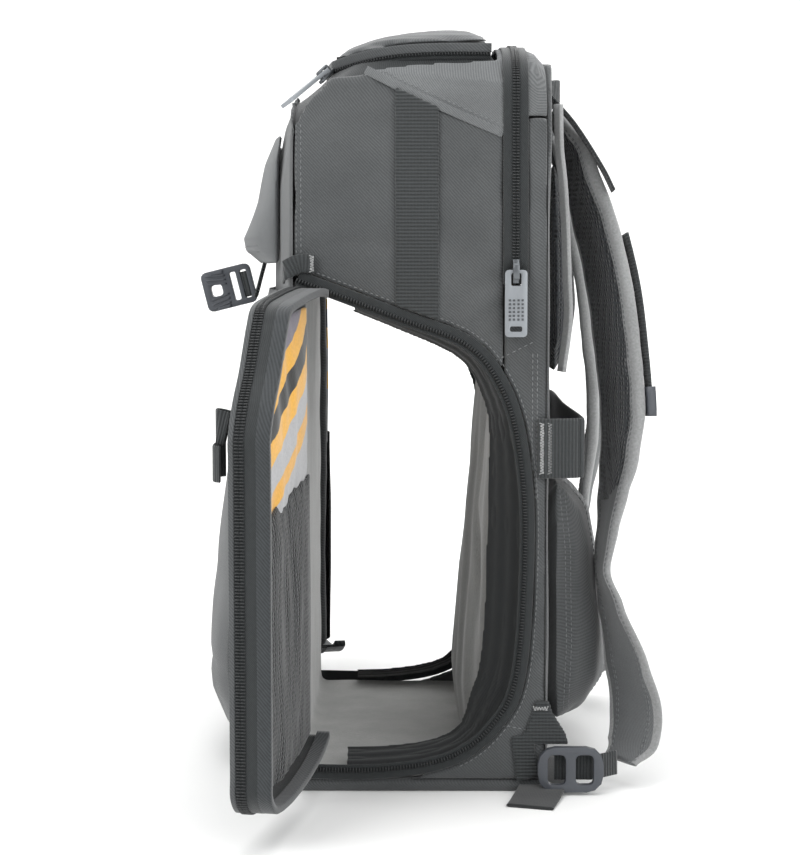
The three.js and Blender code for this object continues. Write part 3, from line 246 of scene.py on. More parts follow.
def shift_points(piece, moved):
    """Moves each point along its normal by moved(points, normals), in metres."""
    mesh = piece.data
    points = np.empty(len(mesh.vertices) * 3)
    mesh.vertices.foreach_get("co", points)
    points = points.reshape(-1, 3)
    normals = np.empty(len(mesh.vertices) * 3)
    mesh.vertex_normals.foreach_get("vector", normals)
    normals = normals.reshape(-1, 3)
    points = points + normals * moved(points, normals)[:, None]
    mesh.vertices.foreach_set("co", points.ravel())
    mesh.update()


def groove(points, line, depth, width):
    """Depth of a groove of that width along a line of points in millimetres, at each point."""
    nearest = np.full(len(points), 1e9)
    for a, b in zip(line[:-1], line[1:]):
        a = np.array(a) * MM
        b = np.array(b) * MM
        along = np.clip(((points - a) @ (b - a)) / ((b - a) @ (b - a)), 0, 1)
        nearest = np.minimum(nearest, np.linalg.norm(points - a - along[:, None] * (b - a), axis=1))
    return -depth * MM * np.exp(-((nearest / (width * MM)) ** 2))


def mirrored(points):
    """The points moved to the right side, so that both sides crease alike."""
    mirror = points.copy()
    mirror[:, 0] = np.abs(points[:, 0])
    return mirror


def ripple(points, size, height, stretch=(1, 1, 1), seed=0.0):
    """Soft random unevenness of cloth: bumps of that size and height in millimetres."""
    scaled = points / (size * MM) * np.array(stretch) + seed
    return np.array([noise.noise(Vector(p)) for p in scaled]) * height * MM


def twill(name, colour, worn, pitch, sheen):
    """Woven twill: fine diagonal ribs across a matte yarn, a little paler where it is rubbed."""
    material, tree, output, place = start_material(name)
    period = pitch * math.sqrt(2) * MM
    ribs = waves(tree, place, 2 * math.pi / (10 * period), 0.6, "DIAGONAL", [("Detail", 1.0),
                                                                             ("Detail Scale", 2.0)])
    fibre = specks(tree, place, 900.0)
    patches = specks(tree, place, 16.0, 4.0)
    rubbed = mapped(tree, patches, (0.35, 0.7), (0.1, 0.9))
    yarn = blended(tree, rubbed, linear(colour), linear(worn))
    weave = summed(tree, ribs, fibre)
    shaded = shaded_by(tree, yarn, mapped(tree, weave, (0.5, 1.5), (0.72, 1.14)))
    coated(tree, output, shaded, 0.86, [("Sheen Weight", sheen), ("Sheen Roughness", 0.5),
                                        ("Specular IOR Level", 0.3)], bumped(tree, weave, 0.35, 0.0004))
    return material


# Twill at 0.9 mm is finer than the picture shows, so its ribs are drawn 1.5 mm apart.
body_twill = twill("dark grey polyester twill", "#454748", "#535556", 1.5, 0.25)
panel_voxel = 2.8 * MM


def side_creases(points, normals):
    """Sag and creases of a side panel between its seams."""
    mirror = mirrored(points)
    outward = np.sign(points[:, 0]) * normals[:, 0] > 0.5
    depth = ripple(mirror, 70, 1.6, (1, 1.4, 0.6)) + ripple(mirror, 24, 0.5, (1, 1, 1), 4.0)
    depth += groove(mirror, [(150, 20, 300), (150, 36, 322), (150, 54, 330)], 1.6, 5)
    depth += groove(mirror, [(150, 30, 292), (150, 44, 306), (150, 54, 312)], 1.3, 4)
    depth += groove(mirror, [(150, -76, 345), (150, -52, 352), (150, -20, 350)], 0.8, 5)
    return np.where(outward, depth - 0.5 * MM, 0)


for side in ("right", "left"):
    panel = softened(f"side_panel_cloth_{side}", f"side_panel_{side}", body_twill, panel_voxel, 2,
                     side_creases)
    finish_piece(panel, "bag", "body_fabric", f"side_panel_{side}")


def gusset_creases(points, normals):
    """The long crease down the rear corner, with small gathers where the pads pull at it."""
    mirror = mirrored(points)
    depth = groove(mirror, [(148, 78, 420), (150, 80, 300), (150, 79, 180), (150, 78, 90)], 1.5, 3.5)
    depth += groove(mirror, [(150, 70, 270), (150, 71, 160)], 0.9, 3)
    for level in range(60, 150, 22):
        depth += groove(mirror, [(150, 66, level), (150, 82, level + 10)], 1.0, 3.5)
    depth += ripple(mirror, 40, 0.9)
    return np.where(np.sign(points[:, 0]) * normals[:, 0] > 0.5, depth - 0.2 * MM, 0)


for side in ("right", "left"):
    gusset = softened(f"rear_gusset_cloth_{side}", f"rear_gusset_{side}", body_twill, panel_voxel, 2,
                      gusset_creases)
    finish_piece(gusset, "bag", "body_fabric", f"rear_gusset_{side}")


def front_sag(points, normals):
    """Broad unevenness of the padded front, with a crease under the lid."""
    depth = ripple(points, 110, 2.4, (1, 1, 0.7), 2.0)
    depth += groove(points, [(-150, -82, 428), (0, -88, 444), (150, -82, 428)], 1.6, 6)
    return np.where(normals[:, 1] < -0.4, depth - 1.0 * MM, 0)


front = softened("front_cloth", "front_panel", body_twill, 2.8 * MM, 3, front_sag)
finish_piece(front, "bag", "body_fabric", "front_panel")


def back_sag(points, normals):
    """The back wall puffs a little between its seams."""
    return np.where(normals[:, 1] > 0.4, ripple(points, 60, 1.0, (1, 1, 1), 7.0) - 0.5 * MM, 0)


back = softened("back_cloth", "back_panel", body_twill, 2.5 * MM, 2, back_sag)
finish_piece(back, "bag", "body_fabric", "back_panel")

base = softened("base_cloth", "base", body_twill, 3.2 * MM, 3)
finish_piece(base, "bag", "body_fabric", "base")


# Yoke, top bands and lid
# Smoother, paler woven nylon over thin foam: a yoke across each upper rear corner and the band behind the
# zip; the crowned lid, in the body's twill, is stitched shut round a dark gusset.

pale_nylon = twill("pale grey woven nylon", "#606263", "#6e7071", 1.1, 0.15)


def yoke_sag(points, normals):
    """Slight puckers of the yoke beside its seams."""
    return np.where(normals[:, 2] > -0.9, ripple(points, 30, 0.7, (1, 1, 1), 3.0), 0)


yoke = softened("yoke_cloth", "yoke_panel", pale_nylon, 1.6 * MM, 1, yoke_sag)
finish_piece(yoke, "bag", "light_fabric", "yoke_panel")

rim = softened("rear_band_cloth", "rear_gusset_top", pale_nylon, 1.2 * MM, 1, yoke_sag)
finish_piece(rim, "bag", "light_fabric", "rear_gusset_top")


def inflated(piece, pressure, cap):
    """Cloth simulation of a padded piece: it swells under pressure, no point further than cap, in
    millimetres.
    """
    start = np.empty(len(piece.data.vertices) * 3)
    piece.data.vertices.foreach_get("co", start)
    start = start.reshape(-1, 3)
    cloth = piece.modifiers.new("cloth", "CLOTH")
    settings = cloth.settings
    settings.quality = 4
    settings.mass = 0.3
    settings.tension_stiffness = 12
    settings.compression_stiffness = 12
    settings.shear_stiffness = 6
    settings.bending_stiffness = 1.2
    settings.use_pressure = True
    settings.uniform_pressure_force = pressure
    settings.effector_weights.gravity = 0
    cloth.point_cache.frame_start = 1
    cloth.point_cache.frame_end = 20
    for step in range(1, 21):
        scene.frame_set(step)
    baked(piece)
    scene.frame_set(1)
    points = np.empty(len(piece.data.vertices) * 3)
    piece.data.vertices.foreach_get("co", points)
    moved = points.reshape(-1, 3) - start
    length = np.linalg.norm(moved, axis=1, keepdims=True)
    moved *= np.minimum(1, cap * MM / np.maximum(length, 1e-9))
    piece.data.vertices.foreach_set("co", (start + moved).ravel())
    piece.data.update()
    return piece


def subdivided(piece, levels=1):
    """One smooth subdivision, applied."""
    finer = piece.modifiers.new("finer", "SUBSURF")
    finer.levels = levels
    finer.render_levels = levels
    baked(piece)
    smooth(piece)
    return piece


def lid_sag(points, normals):
    """The lid starts a little small, because its padding swells."""
    return np.full(len(points), -0.8 * MM)


lid = softened("lid_cloth", "top_lid", body_twill, 4.5 * MM, 2, lid_sag)
inflated(lid, 3.0, 3)
subdivided(lid)
shift_points(lid, lambda points, normals: ripple(points, 45, 0.8, (1, 1, 1), 9.0))
finish_piece(lid, "bag", "light_fabric", "top_lid")


def tape_cloth(name, colour, pitch):
    """Zip tape: a dense herringbone ribbon, nearly black, with a soft sheen along its ribs."""
    material, tree, output, place = start_material(name)
    ribs = waves(tree, place, 2 * math.pi / (10 * pitch * MM), 0.3, "DIAGONAL")
    mixed = summed(tree, ribs, specks(tree, place, 420.0, 3.0))
    shaded = shaded_by(tree, linear(colour)[:3], mapped(tree, mixed, (0.4, 1.6), (0.65, 1.35)))
    coated(tree, output, shaded, 0.8, [("Sheen Weight", 0.3), ("Specular IOR Level", 0.3)],
           bumped(tree, mixed, 0.4, 0.0003))
    return material


zip_tape = tape_cloth("black polyester zip tape", "#26292a", 1.4)


# Linings
# Brushed loop nylon over foam lines the compartment, so that padded dividers can be pressed onto it, and a
# smooth black facing covers the seam just inside each opening.

def brushed(name, colour, shadow):
    """Brushed loop cloth: a short matte pile that scatters light, with faint combed streaks."""
    material, tree, output, place = start_material(name)
    pile = specks(tree, place, 700.0, 4.0)
    combed = put(tree, "ShaderNodeMapping", [("Vector", place), ("Scale", (60.0, 60.0, 9.0))])
    streaks = specks(tree, combed.outputs["Vector"], 1.0, 3.0)
    level = mapped(tree, summed(tree, pile, streaks), (0.7, 1.3))
    tone = blended(tree, level, linear(shadow), linear(colour))
    coated(tree, output, tone, 0.95, [("Sheen Weight", 0.6), ("Sheen Roughness", 0.6), ("Specular IOR Level",
                                                                                        0.2)],
           bumped(tree, pile, 0.5, 0.0005))
    return material


loop_lining = brushed("brushed loop nylon lining", "#8a8a87", "#6f706d")


def wall_folds(points, normals):
    """Upright folds in the middle wall's lining, and creases near its foot."""
    depth = ripple(points, 16, 1.3, (1, 1, 0.14), 11.0) + ripple(points, 50, 1.2, (1, 1, 1), 2.0)
    depth += groove(points, [(110, 48, 60), (80, 38, 180), (100, 45, 300)], 2.0, 5)
    depth += groove(points, [(-110, 48, 60), (-80, 38, 180), (-100, 45, 300)], 2.0, 5)
    return np.where(normals[:, 1] < -0.3, depth - 0.8 * MM, 0)


wall = softened("middle_wall_cloth", "middle_wall", loop_lining, 3.4 * MM, 3, wall_folds)
finish_piece(wall, "bag", "lining_fabric", "middle_wall")

lining = softened("compartment_lining_cloth", "compartment_lining", loop_lining, 3.0 * MM, 1, lambda points,
                  normals: np.where(normals[:, 2] > -0.5, ripple(points, 34, 0.9, (1, 1, 1), 6.0), 0))
finish_piece(lining, "bag", "lining_fabric", "compartment_lining")

ceiling = softened("ceiling_cloth", "compartment_divider", loop_lining, 3.0 * MM, 2, lambda points,
                   normals: ripple(points, 30, 0.8, (1, 1, 1), 8.0) - 0.5 * MM)
finish_piece(ceiling, "bag", "lining_fabric", "compartment_divider")

facing_cloth = tape_cloth("black nylon facing", "#1f2122", 1.8)


def facing_rows(points, normals):
    """Three stitched rows pull the facing down all the way round."""
    reach = (np.abs(points[:, 0]) / MM - 125) / 22
    rows = sum(np.exp(-(((reach - row) * 9) ** 2)) for row in (0.2, 0.5, 0.8))
    return -0.7 * MM * rows + ripple(points, 20, 0.5, (1, 1, 1), 12.0)


for side in ("right", "left"):
    facing = softened(f"opening_facing_cloth_{side}", f"opening_facing_{side}", facing_cloth, 1.1 * MM, 1,
                      facing_rows)
    finish_piece(facing, "bag", "trim_fabric", f"opening_facing_{side}")


# Zips
# Woven tape sewn round each opening, over the rear compartment and under the lid, with moulded coil teeth
# that run along its edge in one or two rows.

def catmull(points, steps):
    """A smooth path through points, with that many steps between each pair."""
    ends = [2 * Vector(points[0]) - Vector(points[1])] + [Vector(p) for p in points]
    ends.append(2 * Vector(points[-1]) - Vector(points[-2]))
    path = []
    for a, b, c, d in zip(ends, ends[1:], ends[2:], ends[3:]):
        for i in range(steps):
            t = i / steps
            path.append(0.5 * (2 * b + (c - a) * t + (2 * a - 5 * b + 4 * c - d) * t ** 2
                               + (3 * b - a - 3 * c + d) * t ** 3))
    path.append(Vector(points[-1]))
    return path


def ahead_at(line, i):
    """From the point before to the one after, at a point of a line."""
    return line[min(i + 1, len(line) - 1)] - line[max(i - 1, 0)]


def row_tree(name, kind, settings):
    """Sets small pieces along a path at even steps; their long side lies across it and their face follows
    it.
    """
    tree = bpy.data.node_groups.new(name, "GeometryNodeTree")
    face = tree.interface
    face.new_socket("Path", in_out="INPUT", socket_type="NodeSocketGeometry")
    for label in ("Spacing", "Along", "Across", "Height"):
        face.new_socket(label, in_out="INPUT", socket_type="NodeSocketFloat")
    face.new_socket("Finish", in_out="INPUT", socket_type="NodeSocketMaterial")
    face.new_socket("Row", in_out="OUTPUT", socket_type="NodeSocketGeometry")
    given = put(tree, "NodeGroupInput").outputs
    curve = put(tree, "GeometryNodeMeshToCurve", [("Mesh", given["Path"])])
    even = put(tree, "GeometryNodeResampleCurve", [("Curve", curve.outputs["Curve"]),
                                                   ("Length", given["Spacing"])], mode="LENGTH")
    ahead = put(tree, "GeometryNodeInputTangent")
    outward = put(tree, "GeometryNodeInputNamedAttribute", [("Name", "outward")], data_type="FLOAT_VECTOR")
    turned = put(tree, "FunctionNodeAlignRotationToVector", [("Vector", ahead.outputs["Tangent"])], axis="X")
    faced = put(tree, "FunctionNodeAlignRotationToVector", [("Rotation", turned.outputs["Rotation"]),
                                                            ("Vector", outward.outputs["Attribute"])],
                axis="Z", pivot_axis="X")
    size = put(tree, "ShaderNodeCombineXYZ", [("X", given["Along"]), ("Y", given["Across"]),
                                              ("Z", given["Height"])])
    one = put(tree, kind, settings)
    laid = put(tree, "GeometryNodeTransform", [("Geometry", one.outputs["Mesh"]),
                                               ("Rotation", (math.pi / 2, 0, 0))])
    placed = put(tree, "GeometryNodeInstanceOnPoints", [
        ("Points", even.outputs["Curve"]), ("Instance", laid.outputs["Geometry"]),
        ("Rotation", faced.outputs["Rotation"]), ("Scale", size.outputs["Vector"])])
    real = put(tree, "GeometryNodeRealizeInstances", [("Geometry", placed.outputs["Instances"])])
    finished = put(tree, "GeometryNodeSetMaterial", [("Geometry", real.outputs["Geometry"]),
                                                     ("Material", given["Finish"])])
    put(tree, "NodeGroupOutput", [("Row", finished.outputs["Geometry"])])
    return tree


tooth_row = row_tree("zip teeth", "GeometryNodeMeshCylinder", [("Vertices", 6), ("Radius", 0.5),
                                                               ("Depth", 1.0)])
stitch_row = row_tree("stitches", "GeometryNodeMeshUVSphere", [("Segments", 6), ("Rings", 4),
                                                               ("Radius", 0.5)])


def laid_row(name, tree, path, outward, sizes, material):
    """Runs a row tree over one or more paths; outward gives the way the row faces, at each point."""
    points, edges, faces = [], [], []
    for line, ways in zip(path, outward):
        first = len(points)
        points += [tuple(p * MM) for p in line]
        faces += [tuple(w) for w in ways]
        edges += [(i, i + 1) for i in range(first, len(points) - 1)]
    mesh = bpy.data.meshes.new(name)
    mesh.from_pydata(points, edges, [])
    facing_way = mesh.attributes.new("outward", "FLOAT_VECTOR", "POINT")
    facing_way.data.foreach_set("vector", [c for way in faces for c in way])
    piece = linked(name, mesh)
    maker = piece.modifiers.new("row", "NODES")
    maker.node_group = tree
    labels = {item.name: item.identifier for item in tree.interface.items_tree if item.in_out == "INPUT"}
    for label, value in zip(("Spacing", "Along", "Across", "Height"), sizes):
        maker[labels[label]] = value * MM
    maker[labels["Finish"]] = material
    baked(piece)
    smooth(piece)
    return piece


def rounded_outwards(piece):
    """Turns a piece's faces outwards and shades them smoothly."""
    build = bmesh.new()
    build.from_mesh(piece.data)
    bmesh.ops.recalc_face_normals(build, faces=build.faces)
    build.to_mesh(piece.data)
    build.free()
    smooth(piece)


def band(name, path, across, width, thickness, material, rounded=0.35):
    """A woven band along a path in millimetres, with rolled edges and a UV map in metres along and across
    it.
    """
    half = [(-1, 0), (-0.97, -rounded), (-0.9, -0.5), (-0.45, -0.5), (0, -0.5), (0.45, -0.5), (0.9, -0.5)]
    half += [(0.97, -rounded), (1, 0)]
    section = half + [(-s, -t) for s, t in half[1:-1]]
    vertices, travelled = [], [0.0]
    for i, place in enumerate(path):
        ahead = ahead_at(path, i).normalized()
        side = across[i] - ahead * across[i].dot(ahead)
        side.normalize()
        face = ahead.cross(side)
        if i:
            travelled.append(travelled[-1] + (place - path[i - 1]).length)
        vertices += [(place + side * (s * width / 2) + face * (t * thickness)) * MM for s, t in section]
    ring = len(section)
    faces = []
    for i in range(len(path) - 1):
        for j in range(ring):
            k = (j + 1) % ring
            faces.append((i * ring + j, i * ring + k, (i + 1) * ring + k, (i + 1) * ring + j))
    last = (len(path) - 1) * ring
    faces.append(tuple(reversed(range(ring))))
    faces.append(tuple(range(last, last + ring)))
    piece = mesh_object(name, vertices, faces, material)
    rounded_outwards(piece)
    sheet = piece.data.uv_layers.new(name="along")
    for loop in piece.data.loops:
        i, j = divmod(loop.vertex_index, ring)
        sheet.data[loop.index].uv = (section[j][0] * width / 2 * MM, travelled[i] * MM)
    return piece


coil_plastic, tree, output, place = start_material("black nylon zip coil")
coated(tree, output, linear("#1d1f20"), mapped(tree, specks(tree, place, 300.0), (0, 1), (0.3, 0.5)),
       [("Specular IOR Level", 0.5)])

opening_line = [(0, 1), (0.44, 0.924), (0.745, 0.868), (0.897, 0.778), (0.972, 0.658), (1, 0.48),
                (0.966, 0.203), (0.855, 0.092), (0.662, 0.025), (0.36, 0), (0, 0)]
opening_front, opening_bottom, opening_depth, opening_height = -75, 13.8, 145, 315
side_plane = 150
opening_flat = catmull([(opening_front + along * opening_depth, opening_bottom + rise * opening_height,
                         0) for along, rise in opening_line], 8)


def beside(flat, offset):
    """A flat path moved to its left, in its own plane."""
    moved = []
    for i, place in enumerate(flat):
        ahead = ahead_at(flat, i).normalized()
        moved.append(place + Vector((-ahead.y, ahead.x, 0)) * offset)
    return moved


def on_side(flat, x, sign):
    """A flat path stood up in the side's plane."""
    return [Vector((sign * x, place.x, place.y)) for place in flat]


tooth_sizes = (1.9, 1.2, 3.0, 1.5)
for side, sign in SIDES:
    away = Vector((sign, 0, 0))
    middle = on_side(opening_flat, side_plane + 0.5, sign)
    tape_across = [Vector((0, b.y - a.y, b.z - a.z)).normalized().cross(away) for a,
                   b in zip(middle[:-1] + middle[-2:-1], middle[1:] + middle[-1:])]
    tape = band(f"opening_tape_{side}", middle, tape_across, 9.6, 1.0, zip_tape)
    finish_piece(tape, "bag", "trim_fabric", f"opening_zip_{side}")
    rows = [on_side(beside(opening_flat, offset), side_plane + 1.7, sign) for offset in (-1.4,)]
    teeth = laid_row(f"opening_teeth_{side}", tooth_row, rows, [[away] * len(line) for line in rows],
                     tooth_sizes, coil_plastic)
    finish_piece(teeth, "bag", "trim_fabric")


arch_squareness, shoulder_height, crown_height, shoulder_half = 3.5, 430, 480, 145.5
zip_foot, rear_zip_middle = 325, 62


draw_foot, draw_height, shoulder_draw = 336.2, 93.4, 0.03


def side_half(z):
    """Half the bag's width at a height."""
    drawn = min(1, max(0, (z - draw_foot) / draw_height))
    half = side_plane * (1 - shoulder_draw * drawn * drawn * (3 - 2 * drawn))
    share = min(1, max(0, (z - shoulder_height) / (crown_height - shoulder_height)))
    return half * (1 - share ** arch_squareness) ** (1 / arch_squareness)


def over_top(offset, raised, sign_steps=24):
    """The rear zip's line: up the right side, over the top and down the left, with the way it faces."""
    line, ways = [], []
    for i in range(7):
        z = zip_foot + (shoulder_height - zip_foot) * i / 7
        line.append(Vector((side_half(z) + raised, rear_zip_middle + offset, z)))
        ways.append(Vector((1, 0, 0)))
    for i in range(sign_steps + 1):
        angle = math.pi / 2 * i / sign_steps
        power = 2 / arch_squareness
        x = (shoulder_half + raised) * math.cos(angle) ** power
        z = shoulder_height + (crown_height - shoulder_height + raised) * math.sin(angle) ** power
        line.append(Vector((x, rear_zip_middle + offset, z)))
        ways.append(Vector((math.cos(angle) ** 1.5, 0, math.sin(angle) ** 1.5)).normalized())
    line += [Vector((-p.x, p.y, p.z)) for p in reversed(line[:-1])]
    ways += [Vector((-w.x, w.y, w.z)) for w in reversed(ways[:-1])]
    return line, ways


line, ways = over_top(0, 0.6)
rear_tape = band("rear_zip_tape", line, [Vector((0, 1, 0))] * len(line), 15.8, 1.4, zip_tape)
finish_piece(rear_tape, "bag", "trim_fabric", "rear_zip")
rows = [over_top(offset, 1.6) for offset in (-1.2, 1.2)]
rear_teeth = laid_row("rear_zip_teeth", tooth_row, [r[0] for r in rows], [r[1] for r in rows],
                      (1.9, 1.2, 2.3, 1.8), coil_plastic)
finish_piece(rear_teeth, "bag", "trim_fabric")

lid_middle, lid_reach, lid_half, lid_edge, lid_fall = -5.5, 55.5, 127, 474, 10


lid_plan = [(1, 1 - i / 10) for i in range(20)] + [(1 - i / 16, -1) for i in range(33)]
lid_plan += [(-1, -1 + (i + 1) / 10) for i in range(20)]


def lid_ring(shrink, below):
    """A line round the lid's edge from its right rear corner to its left one, and the way it faces."""
    line = []
    for across, along in lid_plan:
        rounding = 0.5 if along < 0 else 0.12
        x = (lid_half - shrink) * across * math.sqrt(1 - rounding * along * along / 2)
        y = lid_middle + (lid_reach - shrink) * along * math.sqrt(1 - rounding * across * across / 2)
        line.append(Vector((x, y, lid_edge - lid_fall * ((1 - along) / 2) ** 3 - below)))
    ways = []
    for i in range(len(line)):
        ahead = ahead_at(line, i)
        ways.append(Vector((-ahead.y, ahead.x, 0)).normalized() * -1)
    return line, ways


def upright_band(name, ring, width, thickness, material, rounded=0.35):
    """A band that stands upright along a ring."""
    line, ways = ring
    return band(name, line, [Vector((0, 0, 1))] * len(line), width, thickness, material, rounded)


panel_top = [(0, 0.908), (0.03, 0.926), (0.07, 0.944), (0.17, 0.975), (0.37, 0.985), (0.65, 0.994), (1, 1)]
front_top = [(424, 0.72), (425, 0.7), (439, 0.45), (450.7, 0.02)]
side_height, front_depth, front_bulge = 467, 80, 18
panel_front, panel_run, front_crown, front_fall = -77.7, 130, 450.7, 26.7


def panel_ring(below, behind):
    """The line of the panels' upper edges under the lid, moved down and in behind them."""
    line = []
    for across, along in lid_plan:
        if abs(across) == 1 and along > -1:
            share = (along + 1) / 2
            z = side_height * float(np.interp(share, *zip(*panel_top)))
            line.append(Vector((across * (side_half(z) - behind), panel_front + panel_run * share,
                                z - below)))
        else:
            z = front_crown - front_fall * abs(across) ** 3
            y = -front_depth - front_bulge * float(np.interp(z, *zip(*front_top))) * (1 - across * across)
            line.append(Vector((across * (side_half(z) - behind), y + behind, z - below)))
    return line


def shell(name, outer, inner, material):
    """A closed sheet between two grids of places in millimetres, each a list of rows."""
    rows, count = len(outer), len(outer[0])
    places = [place * MM for grid in (outer, inner) for row in grid for place in row]
    far = rows * count
    faces = []
    for layer in (0, far):
        faces += [(layer + r * count + i, layer + r * count + i + 1, layer + (r + 1) * count + i + 1,
                   layer + (r + 1) * count + i) for r in range(rows - 1) for i in range(count - 1)]
    for r in (0, rows - 1):
        faces += [(r * count + i, r * count + i + 1, far + r * count + i + 1, far + r * count + i)
                  for i in range(count - 1)]
    for i in (0, count - 1):
        faces += [(r * count + i, (r + 1) * count + i, far + (r + 1) * count + i, far + r * count + i)
                  for r in range(rows - 1)]
    piece = mesh_object(name, places, faces, material)
    rounded_outwards(piece)
    return piece


def gusset_grid(inwards):
    """The gusset's surface from the panels' edges up to the lid, sagging slightly inwards."""
    grid = []
    for row in range(9):
        share = row / 8
        line = []
        for a, b in zip(panel_ring(5, 2.2), lid_ring(3.2, 1.0)[0]):
            inward = Vector((-a.x, 20 - a.y, 0)).normalized() * (inwards + 1.2 * math.sin(math.pi * share))
            line.append(a.lerp(b, share) + inward)
        grid.append(line)
    return grid


gusset = shell("lid_gusset_cloth", gusset_grid(0), gusset_grid(1.6), zip_tape)
finish_piece(gusset, "bag", "trim_fabric", "lid_zip")
lid_tape = upright_band("lid_tape", lid_ring(1.6, 3.6), 6.4, 2.6, zip_tape)
finish_piece(lid_tape, "bag", "trim_fabric")
lid_piping = upright_band("lid_piping", lid_ring(1.2, -0.8), 5.8, 4.2, body_twill, 0.45)
finish_piece(lid_piping, "bag", "light_fabric")
line, ways = lid_ring(0.1, 3.0)
lid_teeth = laid_row("lid_teeth", tooth_row, [line], [ways], (1.9, 1.2, 2.6, 1.6), coil_plastic)
finish_piece(lid_teeth, "bag", "trim_fabric")


# Doors
# Each door is a padded twill panel with its zip sewn round its edge wall; inside it has an open mesh pocket
# and, above that, an organiser in bands of coloured cloth. It turns on a fold of the same cloth.

fold_x, fold_y, door_swing, door_reach = 152.2, -77.7, math.radians(101), 142
door_rows = [(0, 0.085, 0.965), (0.1, 0.066, 0.968), (0.25, 0.05, 0.963), (0.45, 0.038, 0.953), (0.65, 0.033,
                                                                                                 0.938),
             (0.72, 0.033, 0.908), (0.78, 0.034, 0.867), (0.845, 0.036, 0.822), (0.94, 0.044, 0.77),
             (1, 0.07, 0.717)]


def on_door(along, out, z, sign=1):
    """A place on the open door: along it from its fold, out of its outer face, and up, in millimetres."""
    x = fold_x + along * math.sin(door_swing) + out * math.cos(door_swing)
    return Vector((sign * x, fold_y + along * math.cos(door_swing) - out * math.sin(door_swing), z))


door_flat = [(along * door_reach, opening_bottom + foot * opening_height, 0) for along, foot,
             top in door_rows]
door_flat += [(door_reach, opening_bottom + rise * opening_height, 0) for rise in (0.1, 0.16, 0.4, 0.62,
                                                                                   0.68)]
door_flat += [(along * door_reach, opening_bottom + top * opening_height, 0) for along, foot,
              top in reversed(door_rows)]
door_flat = catmull(door_flat, 6)


def door_ring(outwards, out, sign):
    """A line round the door's edge, and the way it faces."""
    flat = beside(door_flat, -outwards)
    line = [on_door(p.x, out, p.y, sign) for p in flat]
    ways = [(a - b) for a, b in zip(line, [on_door(p.x, out, p.y, sign) for p in beside(door_flat,
                                                                                        1 - outwards)])]
    return line, [w.normalized() for w in ways]


def door_puff(points, normals):
    """The door's padding swells between its seams, with soft unevenness."""
    return ripple(points, 60, 1.5, (1, 1, 0.8), 20.0) + ripple(points, 18, 0.4)


binding_cloth = tape_cloth("black ribbed binding", "#303335", 2.4)
for side, sign in SIDES:
    panel = softened(f"door_cloth_{side}", f"door_{side}", body_twill, 3.4 * MM, 3, door_puff)
    finish_piece(panel, "bag", "body_fabric", f"door_{side}")
    through = (on_door(0, 1, 0, sign) - on_door(0, 0, 0, sign)).normalized()
    line, ways = door_ring(3.2, -8.6, sign)
    wall = band(f"door_tape_{side}", line, [through] * len(line), 13.5, 1.6, zip_tape)
    finish_piece(wall, "bag", "trim_fabric", f"door_zip_{side}")
    line, ways = door_ring(1.6, -18.6, sign)
    edge = band(f"door_binding_{side}", line, [through] * len(line), 8.5, 4.6, binding_cloth, 0.45)
    finish_piece(edge, "bag", "trim_fabric")
    line, ways = door_ring(2.4, -0.4, sign)
    lip = band(f"door_lip_{side}", line, [through] * len(line), 3.4, 3.8, body_twill, 0.45)
    finish_piece(lip, "bag", "body_fabric")
    rows = [door_ring(4.4, out, sign) for out in (-3.6, -6.6)]
    teeth = laid_row(f"door_teeth_{side}", tooth_row, [r[0] for r in rows], [r[1] for r in rows],
                     tooth_sizes, coil_plastic)
    finish_piece(teeth, "bag", "trim_fabric")


def banded_lining():
    """Organiser cloth: brushed nylon in lavender grey and pale grey with mustard bands and a black one,
    set aslant.
    """
    material, tree, output, place = start_material("banded organiser cloth")
    flat = put(tree, "ShaderNodeUVMap", uv_map="door")
    parts = put(tree, "ShaderNodeSeparateXYZ", [(0, flat.outputs["UV"])])
    wander = specks(tree, place, 60.0)
    slant = added(tree, parts.outputs["X"], 0.55, parts.outputs["Y"])
    height = mapped(tree, added(tree, wander, 0.006, slant), (0.2, 0.36))
    bands = put(tree, "ShaderNodeValToRGB", [("Fac", height)])
    ramp = bands.color_ramp
    ramp.interpolation = "CONSTANT"
    levels = ((0.0, "#b0b0b2"), (0.3, "#e9ad42"), (0.38, "#b4b4b6"), (0.5, "#f0b445"), (0.6, "#2a2b2b"),
              (0.69, "#f0b445"), (0.78, "#827d87"))
    while len(ramp.elements) < len(levels):
        ramp.elements.new(0.5)
    for element, (position, code) in zip(ramp.elements, levels):
        element.position = position
        element.color = linear(code)
    pile = specks(tree, place, 600.0, 3.0)
    shaded = shaded_by(tree, bands.outputs["Color"], mapped(tree, pile, (0, 1), (0.72, 1.1)))
    coated(tree, output, shaded, 0.92, [("Sheen Weight", 0.4), ("Specular IOR Level", 0.2)],
           bumped(tree, pile, 0.5, 0.0004))
    return material


def airmesh(name, colour, deep, cell):
    """Knitted spacer mesh: round open cells over a dark ground, with a faint lustre on the threads."""
    material, tree, output, place = start_material(name)
    cells = put(tree, "ShaderNodeTexVoronoi", [("Vector", place), ("Scale", 1 / (cell * MM)), ("Randomness",
                                                                                               0.25)])
    hole = mapped(tree, cells.outputs["Distance"], (0.22, 0.5))
    coated(tree, output, blended(tree, hole, linear(deep), linear(colour)), 0.75,
             [("Sheen Weight", 0.25), ("Specular IOR Level", 0.35)], bumped(tree, hole, 0.9, 0.0009))
    return material


organiser_cloth = banded_lining()
# The pocket's net has 2 mm holes; drawn at 3 mm they still show from where the bag is seen.
pocket_net = airmesh("black pocket mesh", "#2e3031", "#0c0c0d", 3.0)


